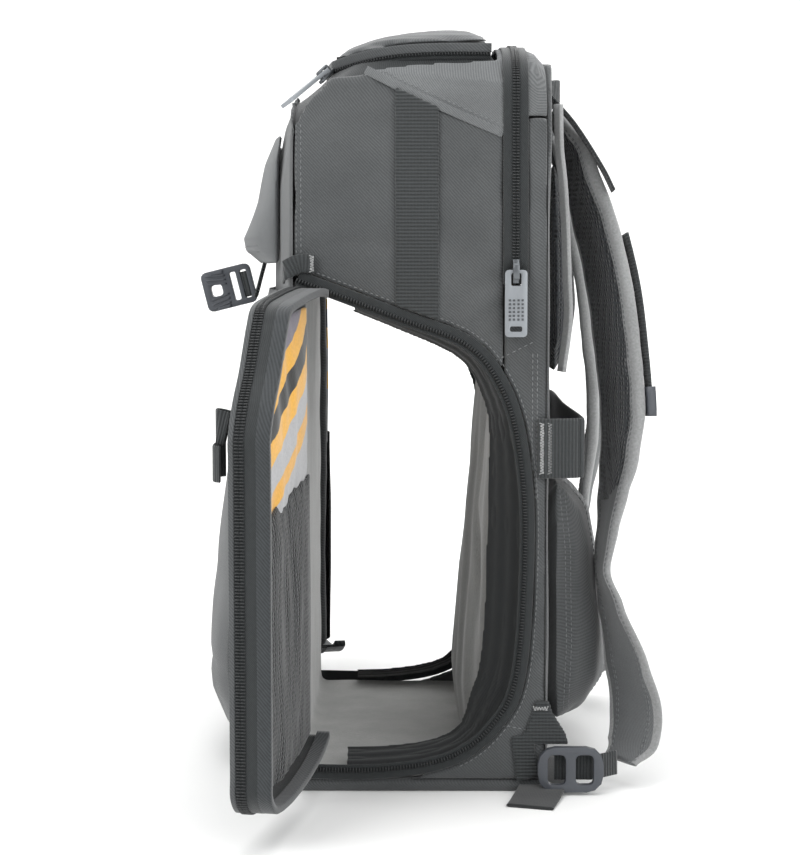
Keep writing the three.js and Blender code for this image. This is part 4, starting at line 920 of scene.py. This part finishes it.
def door_flat_map(piece, sign):
    """A UV map of a door piece, in metres along the door from its fold and up."""
    sheet = piece.data.uv_layers.new(name="door")
    along = Vector((sign * math.sin(door_swing), math.cos(door_swing), 0))
    origin = on_door(0, 0, 0, sign) * MM
    places = [((v.co - origin).dot(along), v.co.z) for v in piece.data.vertices]
    for loop in piece.data.loops:
        sheet.data[loop.index].uv = places[loop.vertex_index]


def door_edges(share):
    """Heights of the door's foot and top at a share of its length."""
    alongs, feet, tops = zip(*door_rows)
    return (opening_bottom + opening_height * float(np.interp(share, alongs, feet)),
            opening_bottom + opening_height * float(np.interp(share, alongs, tops)))


def door_sheet(span, sign, behind):
    """A pocket's grid on the door's inner face; span is its ends, foot, top, swell, and the size of its
    gathers.
    """
    start, end, foot, top, swell, gathers = span
    grid = []
    for row in range(49):
        v = row / 48
        line = []
        for column in range(41):
            u = column / 40
            share = start + (end - start) * u
            low, high = door_edges(share)
            low, high = low + 6, high - 8
            folds = noise.noise(Vector((u * 9, v * 2.2, sign))) * 2.0
            folds += noise.noise(Vector((u * 3, v * 4, 5))) * 2.4
            edge = math.sin(math.pi * u)
            bulge = swell * (edge * math.sin(math.pi * v)) ** 0.6 + folds * edge
            z = low + (high - low) * (foot + (top - foot) * v) + gathers * v * math.sin(u * 44)
            out = -9.5 - max(0.4, 1.2 + bulge) + behind
            line.append(on_door(share * door_reach, out, z, sign))
        grid.append(line)
    return grid


net_span, organiser_span = (0.06, 0.93, 0, 0.61, 5, 1.0), (0.06, 0.9, 0.58, 1, 4, 0)
for side, sign in SIDES:
    organiser = shell(f"organiser_cloth_{side}", door_sheet(organiser_span, sign, 0),
                      door_sheet(organiser_span, sign, 0.8), organiser_cloth)
    door_flat_map(organiser, sign)
    finish_piece(organiser, "bag", "lining_fabric", f"door_organiser_{side}")
    net = shell(f"mesh_pocket_{side}", door_sheet(net_span, sign, -1.6), door_sheet(net_span, sign, -0.8),
                pocket_net)
    finish_piece(net, "bag", "mesh_fabric", f"door_mesh_{side}")


# Pads on the back
# Two foam pads against the wearer, an upper one and a deep lumbar one: twill sides, open airmesh on the
# faces, held by double stitched seams, with a paler scalloped edge on the upper one.

back_net = airmesh("black airmesh", "#34373a", "#141516", 3.2)


def faced(piece, material, chosen):
    """Gives a piece a second material where chosen(centres, normals) holds."""
    piece.data.materials.append(material)
    count = len(piece.data.polygons)
    centres = np.empty(count * 3)
    normals = np.empty(count * 3)
    piece.data.polygons.foreach_get("center", centres)
    piece.data.polygons.foreach_get("normal", normals)
    picked = chosen(centres.reshape(-1, 3) / MM, normals.reshape(-1, 3))
    piece.data.polygons.foreach_set("material_index", np.where(picked, 1, 0))
    piece.data.update()
    return piece


def surface(*pieces):
    """A search tree of pieces' faces, so that lines can be laid on them."""
    places, faces = [], []
    for piece in pieces:
        first = len(places)
        places += [v.co.copy() for v in piece.data.vertices]
        faces += [[first + v for v in polygon.vertices] for polygon in piece.data.polygons]
    return BVHTree.FromPolygons(places, faces)


far_off = 300


def cast(tree, line, towards, raised):
    """Drops a line in millimetres onto cloth, seen along towards, and lifts it; also the way the cloth
    faces.
    """
    places, ways = [], []
    for place in line:
        spot, normal = tree.ray_cast((Vector(place) - towards * far_off) * MM, towards)[:2]
        if spot is None:
            spot, normal = tree.find_nearest(Vector(place) * MM)[:2]
        normal = normal if normal.dot(towards) < 0 else -normal
        places.append(spot / MM + normal * raised)
        ways.append(normal)
    return places, ways


def even(line, gap):
    """The same straight or bent line with a point at least every gap millimetres."""
    finer = [Vector(line[0])]
    for a, b in zip(line[:-1], line[1:]):
        a, b = Vector(a), Vector(b)
        steps = max(1, math.ceil((b - a).length / gap))
        finer += [a.lerp(b, (i + 1) / steps) for i in range(steps)]
    return finer


thread, tree, output, place = start_material("dark grey bonded thread")
tone = mapped(tree, specks(tree, place, 1500.0), (0, 1), (0.7, 1.3))
coated(tree, output, shaded_by(tree, linear("#6d6f70")[:3], tone), 0.55)
# Stitches of 3 mm, as heavy bags have.
stitch_sizes = (3.6, 2.7, 0.7, 0.6)
from_right, from_left, from_back = Vector((-1, 0, 0)), Vector((1, 0, 0)), Vector((0, -1, 0))
from_front = Vector((0, 1, 0))


def stitched(name, tree, lines, towards, slot, material=None, sizes=stitch_sizes, raised=0.1):
    """Stitches along lines laid on cloth."""
    laid = [cast(tree, even(line, 4), towards, raised) for line in lines]
    row = laid_row(name, stitch_row, [places for places, ways in laid], [ways for places, ways in laid],
                   sizes, material or thread)
    return finish_piece(row, "bag", slot)


def lumbar_puff(points, normals):
    """Padding drawn in along the seams round the lumbar pad, with creases between them."""
    mirror = mirrored(points)
    depth = ripple(mirror, 55, 2.0, (1, 1, 1.2), 3.0)
    depth += groove(mirror, [(62, 130, 50), (70, 128, 110), (66, 120, 185)], 3.0, 5)
    depth += groove(mirror, [(0, 130, 118), (66, 128, 118)], 2.0, 5)
    depth += groove(mirror, [(125, 100, 60), (124, 104, 150), (122, 96, 195)], 1.4, 4)
    return depth


lumbar = softened("lumbar_cloth", "lumbar_pad", body_twill, 5 * MM, 3, lumbar_puff)
inflated(lumbar, 4.0, 4)
subdivided(lumbar)
faced(lumbar, back_net, lambda centres, normals: (np.abs(centres[:, 0]) < 62) & (normals[:, 1] > 0.3))
finish_piece(lumbar, "bag", "body_fabric", "lumbar_pad")
lumbar_tree = surface(lumbar)
for sign, side, towards in ((1, "right", from_right), (-1, "left", from_left)):
    rows = [[(sign * 125, y, 48), (sign * 125, y + 2, 90), (sign * 125, y + 1, 150), (sign * 125, y - 3, 190)]
            for y in (96, 99.5)]
    stitched(f"lumbar_side_seam_{side}", lumbar_tree, rows, towards, "body_fabric")
rows = [[(sign * (62 + gap), 120, 46), (sign * (66 + gap), 120, 110), (sign * (62 + gap), 120, 190)]
        for sign in (1, -1) for gap in (-1.5, 2.0)]
stitched("lumbar_face_seam", lumbar_tree, rows, from_back, "body_fabric")

upper = softened("upper_pad_cloth", "upper_back_pad", back_net, 4.5 * MM, 2, lambda points,
                 normals: ripple(points, 40, 1.4, (1, 1, 1), 6.0) + groove(points, [(0, 100, 270),
                                                                                    (0, 100, 400)], 2.4, 6))
inflated(upper, 3.0, 3)
subdivided(upper)
finish_piece(upper, "bag", "mesh_fabric", "upper_back_pad")

pad_edge = brushed("pale grey edging", "#9a9b9b", "#7d7e7e")
for side, sign in SIDES:
    scallop = catmull([(sign * 112, 91, 440), (sign * 109, 92, 412), (sign * 116, 94, 388), (sign * 111, 96,
                                                                                             362),
                       (sign * 115, 97, 330), (sign * 112, 98, 300), (sign * 112, 94, 268)], 8)
    edging = band(f"pad_edging_{side}", scallop, [Vector((sign, 0.7, 0))] * len(scallop), 6, 3.2, pad_edge,
                  0.45)
    finish_piece(edging, "bag", "mesh_fabric")


# Front pockets, strap and buckle
# A deep pocket swells from the front with a zip up each side, and a flap pocket lies above it. Webbing runs
# down the middle and carries a side-release buckle edge-on; a keeper loop holds its loose end.

def pocket_puff(points, normals):
    """Swelling of the loaded pocket, gathered at its foot and drawn in along its side zips."""
    mirror = mirrored(points)
    depth = ripple(mirror, 75, 2.6, (1, 1, 0.9), 15.0) + ripple(mirror, 22, 0.7, (1, 1, 1), 5.0)
    depth += groove(mirror, [(0, -140, 68), (60, -138, 66), (105, -112, 64)], 2.2, 5)
    for level in (24, 40, 52):
        depth += groove(mirror, [(60, -140, level), (112, -100, level + 8)], 1.2, 4)
    return np.where(normals[:, 1] < 0.6, depth - 0.8 * MM, 0)


front_profile = [(0, 0.6), (0.12, 0.95), (0.6, 1), (0.865, 1.05), (0.91, 0.7), (0.94, 0.45), (0.965, 0.02)]
lower_profile = [(0, 0.45), (0.06, 0.84), (0.14, 1), (0.26, 1), (0.45, 0.88), (0.62, 0.68), (0.8, 0.4),
                 (0.93, 0.16), (1, 0)]
flap_profile = [(0, 0.35), (0.1, 0.9), (0.2, 1), (0.5, 0.5), (0.8, 0.16), (1, 0.05)]


def front_at(x, z):
    """Depth of the front panel's face."""
    bulge = front_bulge * float(np.interp(z / side_height, *zip(*front_profile)))
    return -front_depth - bulge * (1 - min(1, abs(x) / side_half(z)) ** 2)


def front_sheet(profile, ends, half, depth, wall, power, through):
    """A front pocket's grid, wall millimetres thick; through is 1 on its outer face and 0 inside."""
    grid = []
    for row in range(73):
        v = row / 72
        z = ends[0] + (ends[1] - ends[0]) * v + (0 if through else wall * (1 - 2 * v))
        swell = depth * float(np.interp(v, *zip(*profile)))
        line = []
        for column in range(65):
            across = math.sin(math.pi / 2 * (column / 32 - 1))
            x = across * (half - wall * (1 - through))
            y = front_at(x, max(z, 8.3)) - 0.5 - wall * through - swell * max(0,
                                                                              1 - abs(across) ** 4) ** power
            line.append(Vector((x, y, z)))
        grid.append(line)
    return grid


# Each pocket's profile, foot and top, half width, depth, cloth thickness and squareness.
lower_pocket = (lower_profile, (4, 322.2), 118, 43, 3, 0.6)
flap_pocket = (flap_profile, (338.6, 420.3), 108, 19, 1.5, 0.5)
pocket = shell("front_pocket_cloth", front_sheet(*lower_pocket, 1), front_sheet(*lower_pocket, 0), body_twill)
shift_points(pocket, pocket_puff)
finish_piece(pocket, "bag", "body_fabric", "front_lower_pocket")
pocket_tree = surface(pocket)
for side, sign in SIDES:
    flat = [(sign * 96, -120, 30), (sign * 98, -120, 60), (sign * 98, -120, 150), (sign * 94, -120, 215),
            (sign * 80, -120, 262)]
    places, ways = cast(pocket_tree, even(flat, 5), from_front, 1.0)
    for smoothing_round in range(4):
        places[1:-1] = [(a + b + c) / 3 for a, b, c in zip(places, places[1:], places[2:])]
        ways[1:-1] = [(a + b + c).normalized() for a, b, c in zip(ways, ways[1:], ways[2:])]
    across = [Vector((0, 0, 1)).cross(way) for way in ways]
    strip = band(f"pocket_zip_tape_{side}", places, across, 9, 1.2, zip_tape)
    finish_piece(strip, "bag", "trim_fabric")
    raised = [place + way * 0.8 for place, way in zip(places, ways)]
    teeth = laid_row(f"pocket_zip_teeth_{side}", tooth_row, [raised], [ways], (1.9, 1.2, 2.6, 1.4),
                     coil_plastic)
    finish_piece(teeth, "bag", "trim_fabric")
flap = shell("flap_pocket_cloth", front_sheet(*flap_pocket, 1), front_sheet(*flap_pocket, 0), pale_nylon)
shift_points(flap, lambda points, normals: np.where(
    normals[:, 1] < 0.3,
    ripple(points, 46, 1.8, (1, 1, 1), 17.0) + groove(points, [(-90, -90, 352), (90, -90, 356)], 1.4, 4), 0))
finish_piece(flap, "bag", "light_fabric", "front_upper_pocket")
flap_tree = surface(flap)
stitched("flap_seam", flap_tree, [[(-96, -110, z), (0, -120, z - 1), (96, -110, z)] for z in (346, 349.5)],
         from_front, "light_fabric")


def webbing_cloth(name, colour, pitch):
    """Woven polyester webbing: even ribs across it, fine warp along it, and a low lustre."""
    material, tree, output, place = start_material(name)
    flat = put(tree, "ShaderNodeUVMap", uv_map="along")
    ribs = waves(tree, flat.outputs["UV"], 2 * math.pi / (20 * pitch * MM), 0.25, "Y")
    warp = waves(tree, flat.outputs["UV"], 2 * math.pi / (20 * 0.9 * MM), 0.0, "X")
    fluff = specks(tree, place, 500.0)
    mixed = added(tree, fluff, 0.5, added(tree, warp, 0.3, ribs))
    shaded = shaded_by(tree, linear(colour)[:3], mapped(tree, mixed, (0.2, 1.5), (0.5, 1.35)))
    coated(tree, output, shaded, 0.72, [("Sheen Weight", 0.2), ("Specular IOR Level", 0.35)],
           bumped(tree, mixed, 0.8, 0.0006))
    return material


def flat_map(piece, across, along):
    """A UV map in metres from two directions, for webbing that lies flat."""
    sheet = piece.data.uv_layers.new(name="along")
    places = [(v.co.dot(across), v.co.dot(along)) for v in piece.data.vertices]
    for loop in piece.data.loops:
        sheet.data[loop.index].uv = places[loop.vertex_index]


dark_webbing = webbing_cloth("charcoal polyester webbing", "#303334", 2.2)
east, north, high = Vector((1, 0, 0)), Vector((0, 1, 0)), Vector((0, 0, 1))


def webbing(name, points, width, thickness, node=None, way=high, steps=10):
    """A webbing piece along a path through points in millimetres."""
    line = catmull(points, steps)
    piece = band(name, line, [way] * len(line), width, thickness, dark_webbing)
    return finish_piece(piece, "bag", "webbing", *([node] if node else []))


buckle_height, strap_top, strap_foot = 325.5, 369, 315
webbing("front_strap_cloth", [(0, -112.5, strap_foot), (0, -109, 328), (0, -104.5, 346),
                              (0, -101.5, strap_top)], 20, 1.7, "front_strap", east)

moulded, tree, output, place = start_material("dark moulded acetal")
grain = specks(tree, place, 1800.0)
rough = mapped(tree, grain, (0, 1), (0.36, 0.52))
coated(tree, output, blended(tree, grain, linear("#3f4247"), linear("#4b4e54")), rough,
       [("Specular IOR Level", 0.5)], bumped(tree, grain, 0.2, 0.0002))


def bevelled(name, node, material, width, segments=3):
    """A hard CAD piece with its edges rounded."""
    build = bmesh.new()
    build.from_mesh(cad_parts[node].data)
    bmesh.ops.remove_doubles(build, verts=build.verts, dist=1e-5)
    bmesh.ops.dissolve_limit(build, angle_limit=math.radians(1), verts=build.verts, edges=build.edges)
    mesh = bpy.data.meshes.new(name)
    build.to_mesh(mesh)
    build.free()
    piece = linked(name, mesh)
    edge = piece.modifiers.new("edge", "BEVEL")
    edge.width = width * MM
    edge.segments = segments
    edge.limit_method = "ANGLE"
    edge.angle_limit = math.radians(40)
    baked(piece)
    piece.data.materials.clear()
    piece.data.materials.append(material)
    smooth(piece)
    piece.data.set_sharp_from_angle(angle=math.radians(35))
    return piece


def bar(name, ends, width, height, material, face):
    """A small rounded bar between two places in millimetres."""
    line = even([ends[0], ends[1]], 2)
    return band(name, line, [face] * len(line), width, height, material, 0.45)


buckle = bevelled("buckle_body", "front_buckle", moulded, 1.1)
finish_piece(buckle, "bag", "buckle_plastic", "front_buckle")
buckle_tilt, buckle_rear = math.radians(14), -112.8


def on_buckle(back, up, out, sign=1):
    """A place on the buckle's broad side: back from its rear end, up across it, and out of its face."""
    return Vector((sign * (4.5 + out), buckle_rear - back * math.cos(buckle_tilt)
                   - up * math.sin(buckle_tilt), buckle_height - back * math.sin(buckle_tilt)
                   + up * math.cos(buckle_tilt)))


for side, sign in SIDES:
    for index, lift in enumerate((3.5, 6.5, 9.5)):
        for way in (1, -1):
            chevron = bar(f"buckle_chevron_{side}_{index}_{way}", (on_buckle(19.5, way * lift, 0.1, sign),
                                                                   on_buckle(33, way * (lift + 2.2), 0.1,
                                                                             sign)), 1.1, 0.9, moulded,
                          Vector((0, 0, 1)))
            finish_piece(chevron, "bag", "buckle_plastic")
    for way in (1, -1):
        mouth = bar(f"buckle_mouth_{side}_{way}", (on_buckle(20, way * 12.2, 0.2, sign),
                                                   on_buckle(30, way * 12.6, 0.2, sign)),
                    2.2, 1.2, moulded, Vector((0, 0, 1)))
        finish_piece(mouth, "bag", "buckle_plastic")
roll = [on_buckle(6.5 + 3.2 * math.cos(a), 0, 3.0 * math.sin(a) - 4.5) for a in [math.pi * i / 8
                                                                                 for i in range(17)]]
strap_roll = band("buckle_webbing", roll,
                  [Vector((0, -math.sin(buckle_tilt), math.cos(buckle_tilt)))] * len(roll), 18, 2.6,
                  dark_webbing)
finish_piece(strap_roll, "bag", "webbing")

keeper_y = -136.9
webbing("keeper_cloth", [(-22, keeper_y, 198.5), (-14, keeper_y - 5, 198.5), (14, keeper_y - 5, 198.5),
                         (22, keeper_y, 198.5)], 26, 1.7, "keeper_loop")
webbing("keeper_top_loop", [(-9, keeper_y + 4, 222), (-5, keeper_y - 3, 224), (5, keeper_y - 3, 224),
                            (9, keeper_y + 4, 222)], 24, 1.7)


# Webbing
# Ribbed polyester webbing sewn down at its ends with bartacks: a strip up each side, the bridges over the
# doors' folds, the trolley strap round the back, the haul handle and the lower corner tabs.

pale_thread = brushed("pale grey bartack thread", "#a8a9a9", "#7f8080")


def bartack(name, middle, along, away, length, slot="webbing"):
    """A dense zigzag bar of thread across webbing."""
    ends = [Vector(middle) - along * length / 2, Vector(middle) + along * length / 2]
    across = along.cross(away)
    zigzag = [spot + across * (1.1 if i % 2 else -1.1) for i, spot in enumerate(even(ends, 0.9))]
    row = laid_row(name, stitch_row, [zigzag], [[away] * len(zigzag)], (1.1, 1.6, 0.7, 0.7), pale_thread)
    return finish_piece(row, "bag", slot)


trolley = [(150.9, 76, 221.4), (151.1, 88, 221.4), (147.1, 102, 221.4), (131.1, 106, 221.4), (0, 104, 221.4)]
trolley += [(-x, y, z) for x, y, z in reversed(trolley[:-1])]
webbing("trolley_cloth", trolley, 38, 1.8, "trolley_strap")
webbing("handle_cloth", [(-50, 88.7, 452.3), (-40, 89.6, 453.3), (-25, 96.5, 455.3), (0, 97, 456.3),
                         (25, 96.5, 455.3), (40, 89.6, 453.3), (50, 88.7, 452.3)], 16, 3.4, "haul_handle")
for sign, side, away in ((1, "right", east), (-1, "left", -east)):
    strip = softened(f"side_webbing_cloth_{side}", f"side_webbing_{side}", dark_webbing, 1.0 * MM, 1,
                     lambda points, normals: np.full(len(points), 0.25 * MM))
    flat_map(strip, north, high)
    finish_piece(strip, "bag", "webbing", f"side_webbing_{side}")
    for level in (396, 338):
        bartack(f"side_bartack_{side}_{level}", (sign * (151.6 - (0.06 * (level - 338))), 0, level), north,
                away, 24)
    bridge = [(141, -84.5, 330.8), (151.6, -82.5, 333.8), (152, -74, 337.8), (152, -64, 337.8)]
    webbing(f"corner_bridge_cloth_{side}", [(sign * x, y, z) for x, y, z in bridge], 12, 1.7,
            f"corner_bridge_{side}")
    bartack(f"bridge_bartack_{side}", (sign * 153, -66, 337.8), high, away, 10)
    for depth in (79, 84):
        bartack(f"trolley_bartack_{side}_{depth}", (sign * 152, depth, 221.4), high, away, 32)
    lower = [(138.6, 129, 16.8), (150.1, 113, 16.5), (150.9, 106, 16.5), (150.9, 88, 16.5)]
    webbing(f"lower_webbing_cloth_{side}", [(sign * x, y, z) for x, y, z in lower], 16, 1.7,
            f"lower_webbing_{side}")
    tab = softened(f"corner_tab_cloth_{side}", f"corner_tab_{side}", dark_webbing, 1.0 * MM, 1,
                   lambda points, normals: np.full(len(points), 0.25 * MM))
    flat_map(tab, north, high)
    finish_piece(tab, "bag", "webbing", f"corner_tab_{side}")
    bartack(f"tab_bartack_{side}", (sign * 152.6, 79, 55), north, away, 9)
    lock = bevelled(f"ladder_lock_{side}", f"strap_lock_{side}", moulded, 1.4)
    finish_piece(lock, "bag", "buckle_plastic", f"strap_lock_{side}")


# Shoulder straps
# Padded straps: twill outside, black airmesh inside down to a curved end, pale bound edges, with
# load-lifter webbing at the top and a short sternum rail along the outer edge.

strap_rows = [
    (0.93, 0.686, 0.32, 0.05, 0.86, 0.5), (0.885, 0.76, 0.36, 0.15, 0.95, 0.85),
    (0.845, 0.8, 0.4, 0.25, 1, 1),
    (0.77, 0.876, 0.44, 0.35, 1, 1), (0.685, 0.94, 0.48, 0.36, 1, 1), (0.6, 0.975, 0.51, 0.36, 1, 1),
    (0.52, 1, 0.53, 0.33, 1, 1), (0.45, 0.985, 0.55, 0.25, 0.97, 0.95), (0.4, 0.955, 0.57, 0.18, 0.9, 0.8),
    (0.345, 0.925, 0.6, 0.08, 0.82, 0.65), (0.29, 0.9, 0.63, 0.05, 0.75, 0.55),
    (0.235, 0.94, 0.67, 0.3, 0.7, 0.5),
    (0.155, 1.01, 0.74, 0.7, 0.66, 0.48), (0.1, 1.045, 0.79, 0.9, 0.64, 0.46),
    (0.06, 1.03, 0.84, 1, 0.58, 0.45),
    (0.036, 0.965, 0.885, 1, 0.4, 0.4)]
strap_width, strap_thickness, strap_reach, strap_turn = 70, 14, 137, math.radians(45)
strap_steps = 8


def strap_stations(sign):
    """Places down a strap with its width direction, its outer face, its width and its thickness."""
    line = catmull([(spread * 150, reach * strap_reach, rise * side_height) for rise, reach, spread, turn,
                    width, pad in strap_rows], strap_steps)
    stations = []
    for i, place in enumerate(line):
        row = min(i // strap_steps, len(strap_rows) - 2)
        share = i / strap_steps - row
        share = share * share * (3 - 2 * share)
        turn, width, pad = (strap_rows[row][c] + (strap_rows[row + 1][c] - strap_rows[row][c]) * share
                            for c in (3, 4, 5))
        ahead = ahead_at(line, i).normalized()
        side = Vector((math.cos(strap_turn * turn), math.sin(strap_turn * turn), 0))
        side = (side - ahead * side.dot(ahead)).normalized()
        face = side.cross(ahead)
        stations.append((place, side, face, strap_width * width, strap_thickness * pad))
    if sign < 0:
        turned = Vector((-1, 1, 1))
        stations = [(p * turned, s * turned, f * turned, w, t) for p, s, f, w, t in stations]
    return stations


net_end, strap_ring = 66, 40
strap_edge = brushed("pale grey strap binding", "#939494", "#747575")
strap_twill = twill("mid grey strap twill", "#5d5f60", "#6b6d6e", 1.3, 0.25)
for side, sign in SIDES:
    stations = strap_stations(sign)
    vertices, faces, kinds = [], [], []
    for i, (place, across, face, width, thickness) in enumerate(stations):
        for j in range(strap_ring):
            angle = 2 * math.pi * j / strap_ring
            out, through = math.cos(angle), math.sin(angle)
            out = math.copysign(abs(out) ** 0.75, out)
            through = math.copysign(abs(through) ** 0.75, through)
            swell = 1 - 0.16 * math.exp(-(((abs(out) - 0.78) / 0.07) ** 2)) * (1 if i < net_end + 20 else 0.3)
            pucker = 0.9 * noise.noise(place / 14 + Vector((out, through, 4)) * 0.6)
            vertices.append((place + across * (out * width / 2) + face * (through * (thickness * swell / 2)
                                                                          + pucker * abs(through))) * MM)
    for i in range(len(stations) - 1):
        for j in range(strap_ring):
            k = (j + 1) % strap_ring
            faces.append((i * strap_ring + j, i * strap_ring + k, (i + 1) * strap_ring + k,
                          (i + 1) * strap_ring + j))
            middle = 2 * math.pi * (j + 0.5) / strap_ring
            edge = abs(math.cos(middle)) ** 0.75 > 0.8
            inner = (math.sin(middle) > 0) != (stations[i][2].y > 0)
            curved = net_end - 8 * (abs(math.cos(middle)) ** 2)
            kinds.append(1 if edge else 2 if inner and i < curved else 0)
    faces.append(tuple(range(strap_ring)))
    last = (len(stations) - 1) * strap_ring
    faces.append(tuple(reversed(range(last, last + strap_ring))))
    strap = mesh_object(f"shoulder_strap_cloth_{side}", vertices, faces, strap_twill)
    strap.data.materials.append(strap_edge)
    strap.data.materials.append(back_net)
    strap.data.polygons.foreach_set("material_index", kinds + [0, 0])
    rounded_outwards(strap)
    finish_piece(strap, "bag", "body_fabric", f"shoulder_strap_{side}")
    lifter = [(94.5, 86.9, 446), (96.5, 103, 427.3), (98.5, 120, 400.7), (99.5, 128, 385)]
    webbing(f"load_lifter_{side}", [(sign * x, y, z) for x, y, z in lifter], 20, 1.7, None, east)
    rail, ways = [], []
    for place, across, face, width, thickness in stations[26:50]:
        outer = face if face.y > 0 else -face
        rail.append(place + across * (width / 2 - 6) + outer * (thickness / 2 + 0.8))
        ways.append(across)
    rail_band = band(f"sternum_webbing_{side}", rail, ways, 10, 1.8, dark_webbing)
    finish_piece(rail_band, "bag", "webbing")
    knob = [place + (rail[-1] - rail[-2]).normalized() * 2 for place in rail[-5:]]
    knob_band = band(f"sternum_rail_{side}", knob, ways[-5:], 13, 6, moulded, 0.45)
    finish_piece(knob_band, "bag", "buckle_plastic")
    rows = []
    for gap in (0.30, 0.345):
        for part in (1, -1):
            rows.append([place + across * (part * width * gap) for place, across, face, width,
                         thickness in stations[2:118:3]])
    strap_tree = surface(strap)
    laid = []
    for row in rows:
        spots = [strap_tree.find_nearest((spot + (Vector((sign * 1.0, -1, 0)) * 12)) * MM)
                 for spot in even(row, 6)]
        laid.append(([spot[0] / MM + spot[1] * 0.1 for spot in spots], [spot[1] for spot in spots]))
    seam = laid_row(f"strap_seams_{side}", stitch_row, [a for a, b in laid], [b for a, b in laid],
                    stitch_sizes, thread)
    finish_piece(seam, "bag", "body_fabric")


# Sliders, pulls and small fittings
# Cast sliders on the zips with their bails, each with a flat hinged pull; the pulls' faces carry a grid of
# dots pressed in for grip.

def scuffed(name, colour, metallic, scale, rough):
    """Worn metal: its roughness wanders in the range rough."""
    material, tree, output, place = start_material(name)
    roughness = mapped(tree, specks(tree, place, scale, 4.0), (0, 1), rough)
    coated(tree, output, linear(colour), roughness, metallic=metallic)
    return material


cast_metal = scuffed("dark plated zinc", "#6a6d70", 1.0, 260.0, (0.22, 0.5))
pull_metal = scuffed("satin grey pull", "#8e9296", 0.55, 200.0, (0.34, 0.55))
dot_paint, tree, output, place = start_material("dark pressed dots")
principled(tree, output, [("Base Color", linear("#4c4f52")), ("Roughness", 0.7)])

for side, sign in SIDES:
    for kind in ("rear", "lid", "door"):
        slider = bevelled(f"{kind}_slider_body_{side}", f"{kind}_slider_{side}", cast_metal, 0.45, 2)
        finish_piece(slider, "bag", "slider_metal", f"{kind}_slider_{side}")
        tab = bevelled(f"{kind}_pull_body_{side}", f"{kind}_pull_{side}", pull_metal, 0.5, 2)
        finish_piece(tab, f"{kind}_pull_{side}", "pull_metal", f"{kind}_pull_{side}")
    columns = [[Vector((sign * 157.35, 62 + y, z)) for z in (315, 303)] for y in (-4, -1.4, 1.4, 4)]
    dots = laid_row(f"rear_pull_dots_{side}", tooth_row, columns, [[Vector((sign, 0, 0))] * 2] * 4,
                    (2.4, 1.3, 1.3, 1.3), dot_paint)
    finish_piece(dots, f"rear_pull_{side}", "pull_metal")


# Seams and stitches
# Rows of thread beside the opening's tape, along the yoke and down the side seams, and the short seams at
# the rear corner; bound edges cover the joins between panels, and a near black strip along the base's rear
# edge, laid on the floor out past the right side, is a painted shadow.

side_tree = surface(*[bpy.data.objects[f"{kind}_{side}"] for kind in ("side_panel_cloth", "rear_gusset_cloth")
                      for side in ("right", "left")], bpy.data.objects["yoke_cloth"])
for sign, side, towards in ((1, "right", from_right), (-1, "left", from_left)):
    outline = [(sign * 150, p.x, p.y) for p in beside(opening_flat, 7.2)]
    stitched(f"opening_seam_{side}", side_tree, [outline[:len(outline) * 4 // 5]], towards, "body_fabric")
    front_seam = [(sign * 150, -76, 338), (sign * 149, -76, 380), (sign * 147, -76, 424)]
    stitched(f"front_seam_{side}", side_tree, [front_seam, [(x, y + 3, z) for x, y, z in front_seam]],
             towards, "body_fabric")
    yoke_seam = [(sign * 147, -32, 459.3), (sign * 147, -8, 446.6), (sign * 147, 24, 432.1), (sign * 147, 54,
                                                                                              419.3)]
    stitched(f"yoke_seam_{side}", side_tree, [[(x, y, z + 5) for x, y, z in yoke_seam]], towards,
             "light_fabric")
    places = [Vector((sign * (side_half(z) - 0.4), y, z)) for x, y, z in even(yoke_seam, 4)]
    piping = band(f"yoke_piping_{side}", places, [Vector((0, 0.5, 1))] * len(places), 5.6, 2.2, pale_nylon,
                  0.45)
    finish_piece(piping, "bag", "light_fabric")
    stitched(f"rear_seam_{side}", side_tree, [[(sign * 150, y, 280), (sign * 150, y, 240), (sign * 150, y,
                                                                                            190)]
                                              for y in (73, 76)], towards, "body_fabric")
    stitched(f"guard_seam_{side}", side_tree, [[(sign * 150, 50, 277), (sign * 150, 72, 288)]], towards,
             "body_fabric")
    stitched(f"corner_seam_{side}", side_tree, [[(sign * 150, 54, 44), (sign * 150, 73, 40)]], towards,
             "body_fabric")
# Painted shadow: a near black strip on the floor along the base's rear edge, reaching out past the right
# side.
base_shadow_strip = band("painted_base_shadow", catmull([(60, 83, 2), (120, 83, 3), (152, 80, 4), (176, 74, 2), (190, 70, 1)],
                                      6), [north] * 25, 30, 1.6, facing_cloth)
finish_piece(base_shadow_strip, "bag", "trim_fabric")
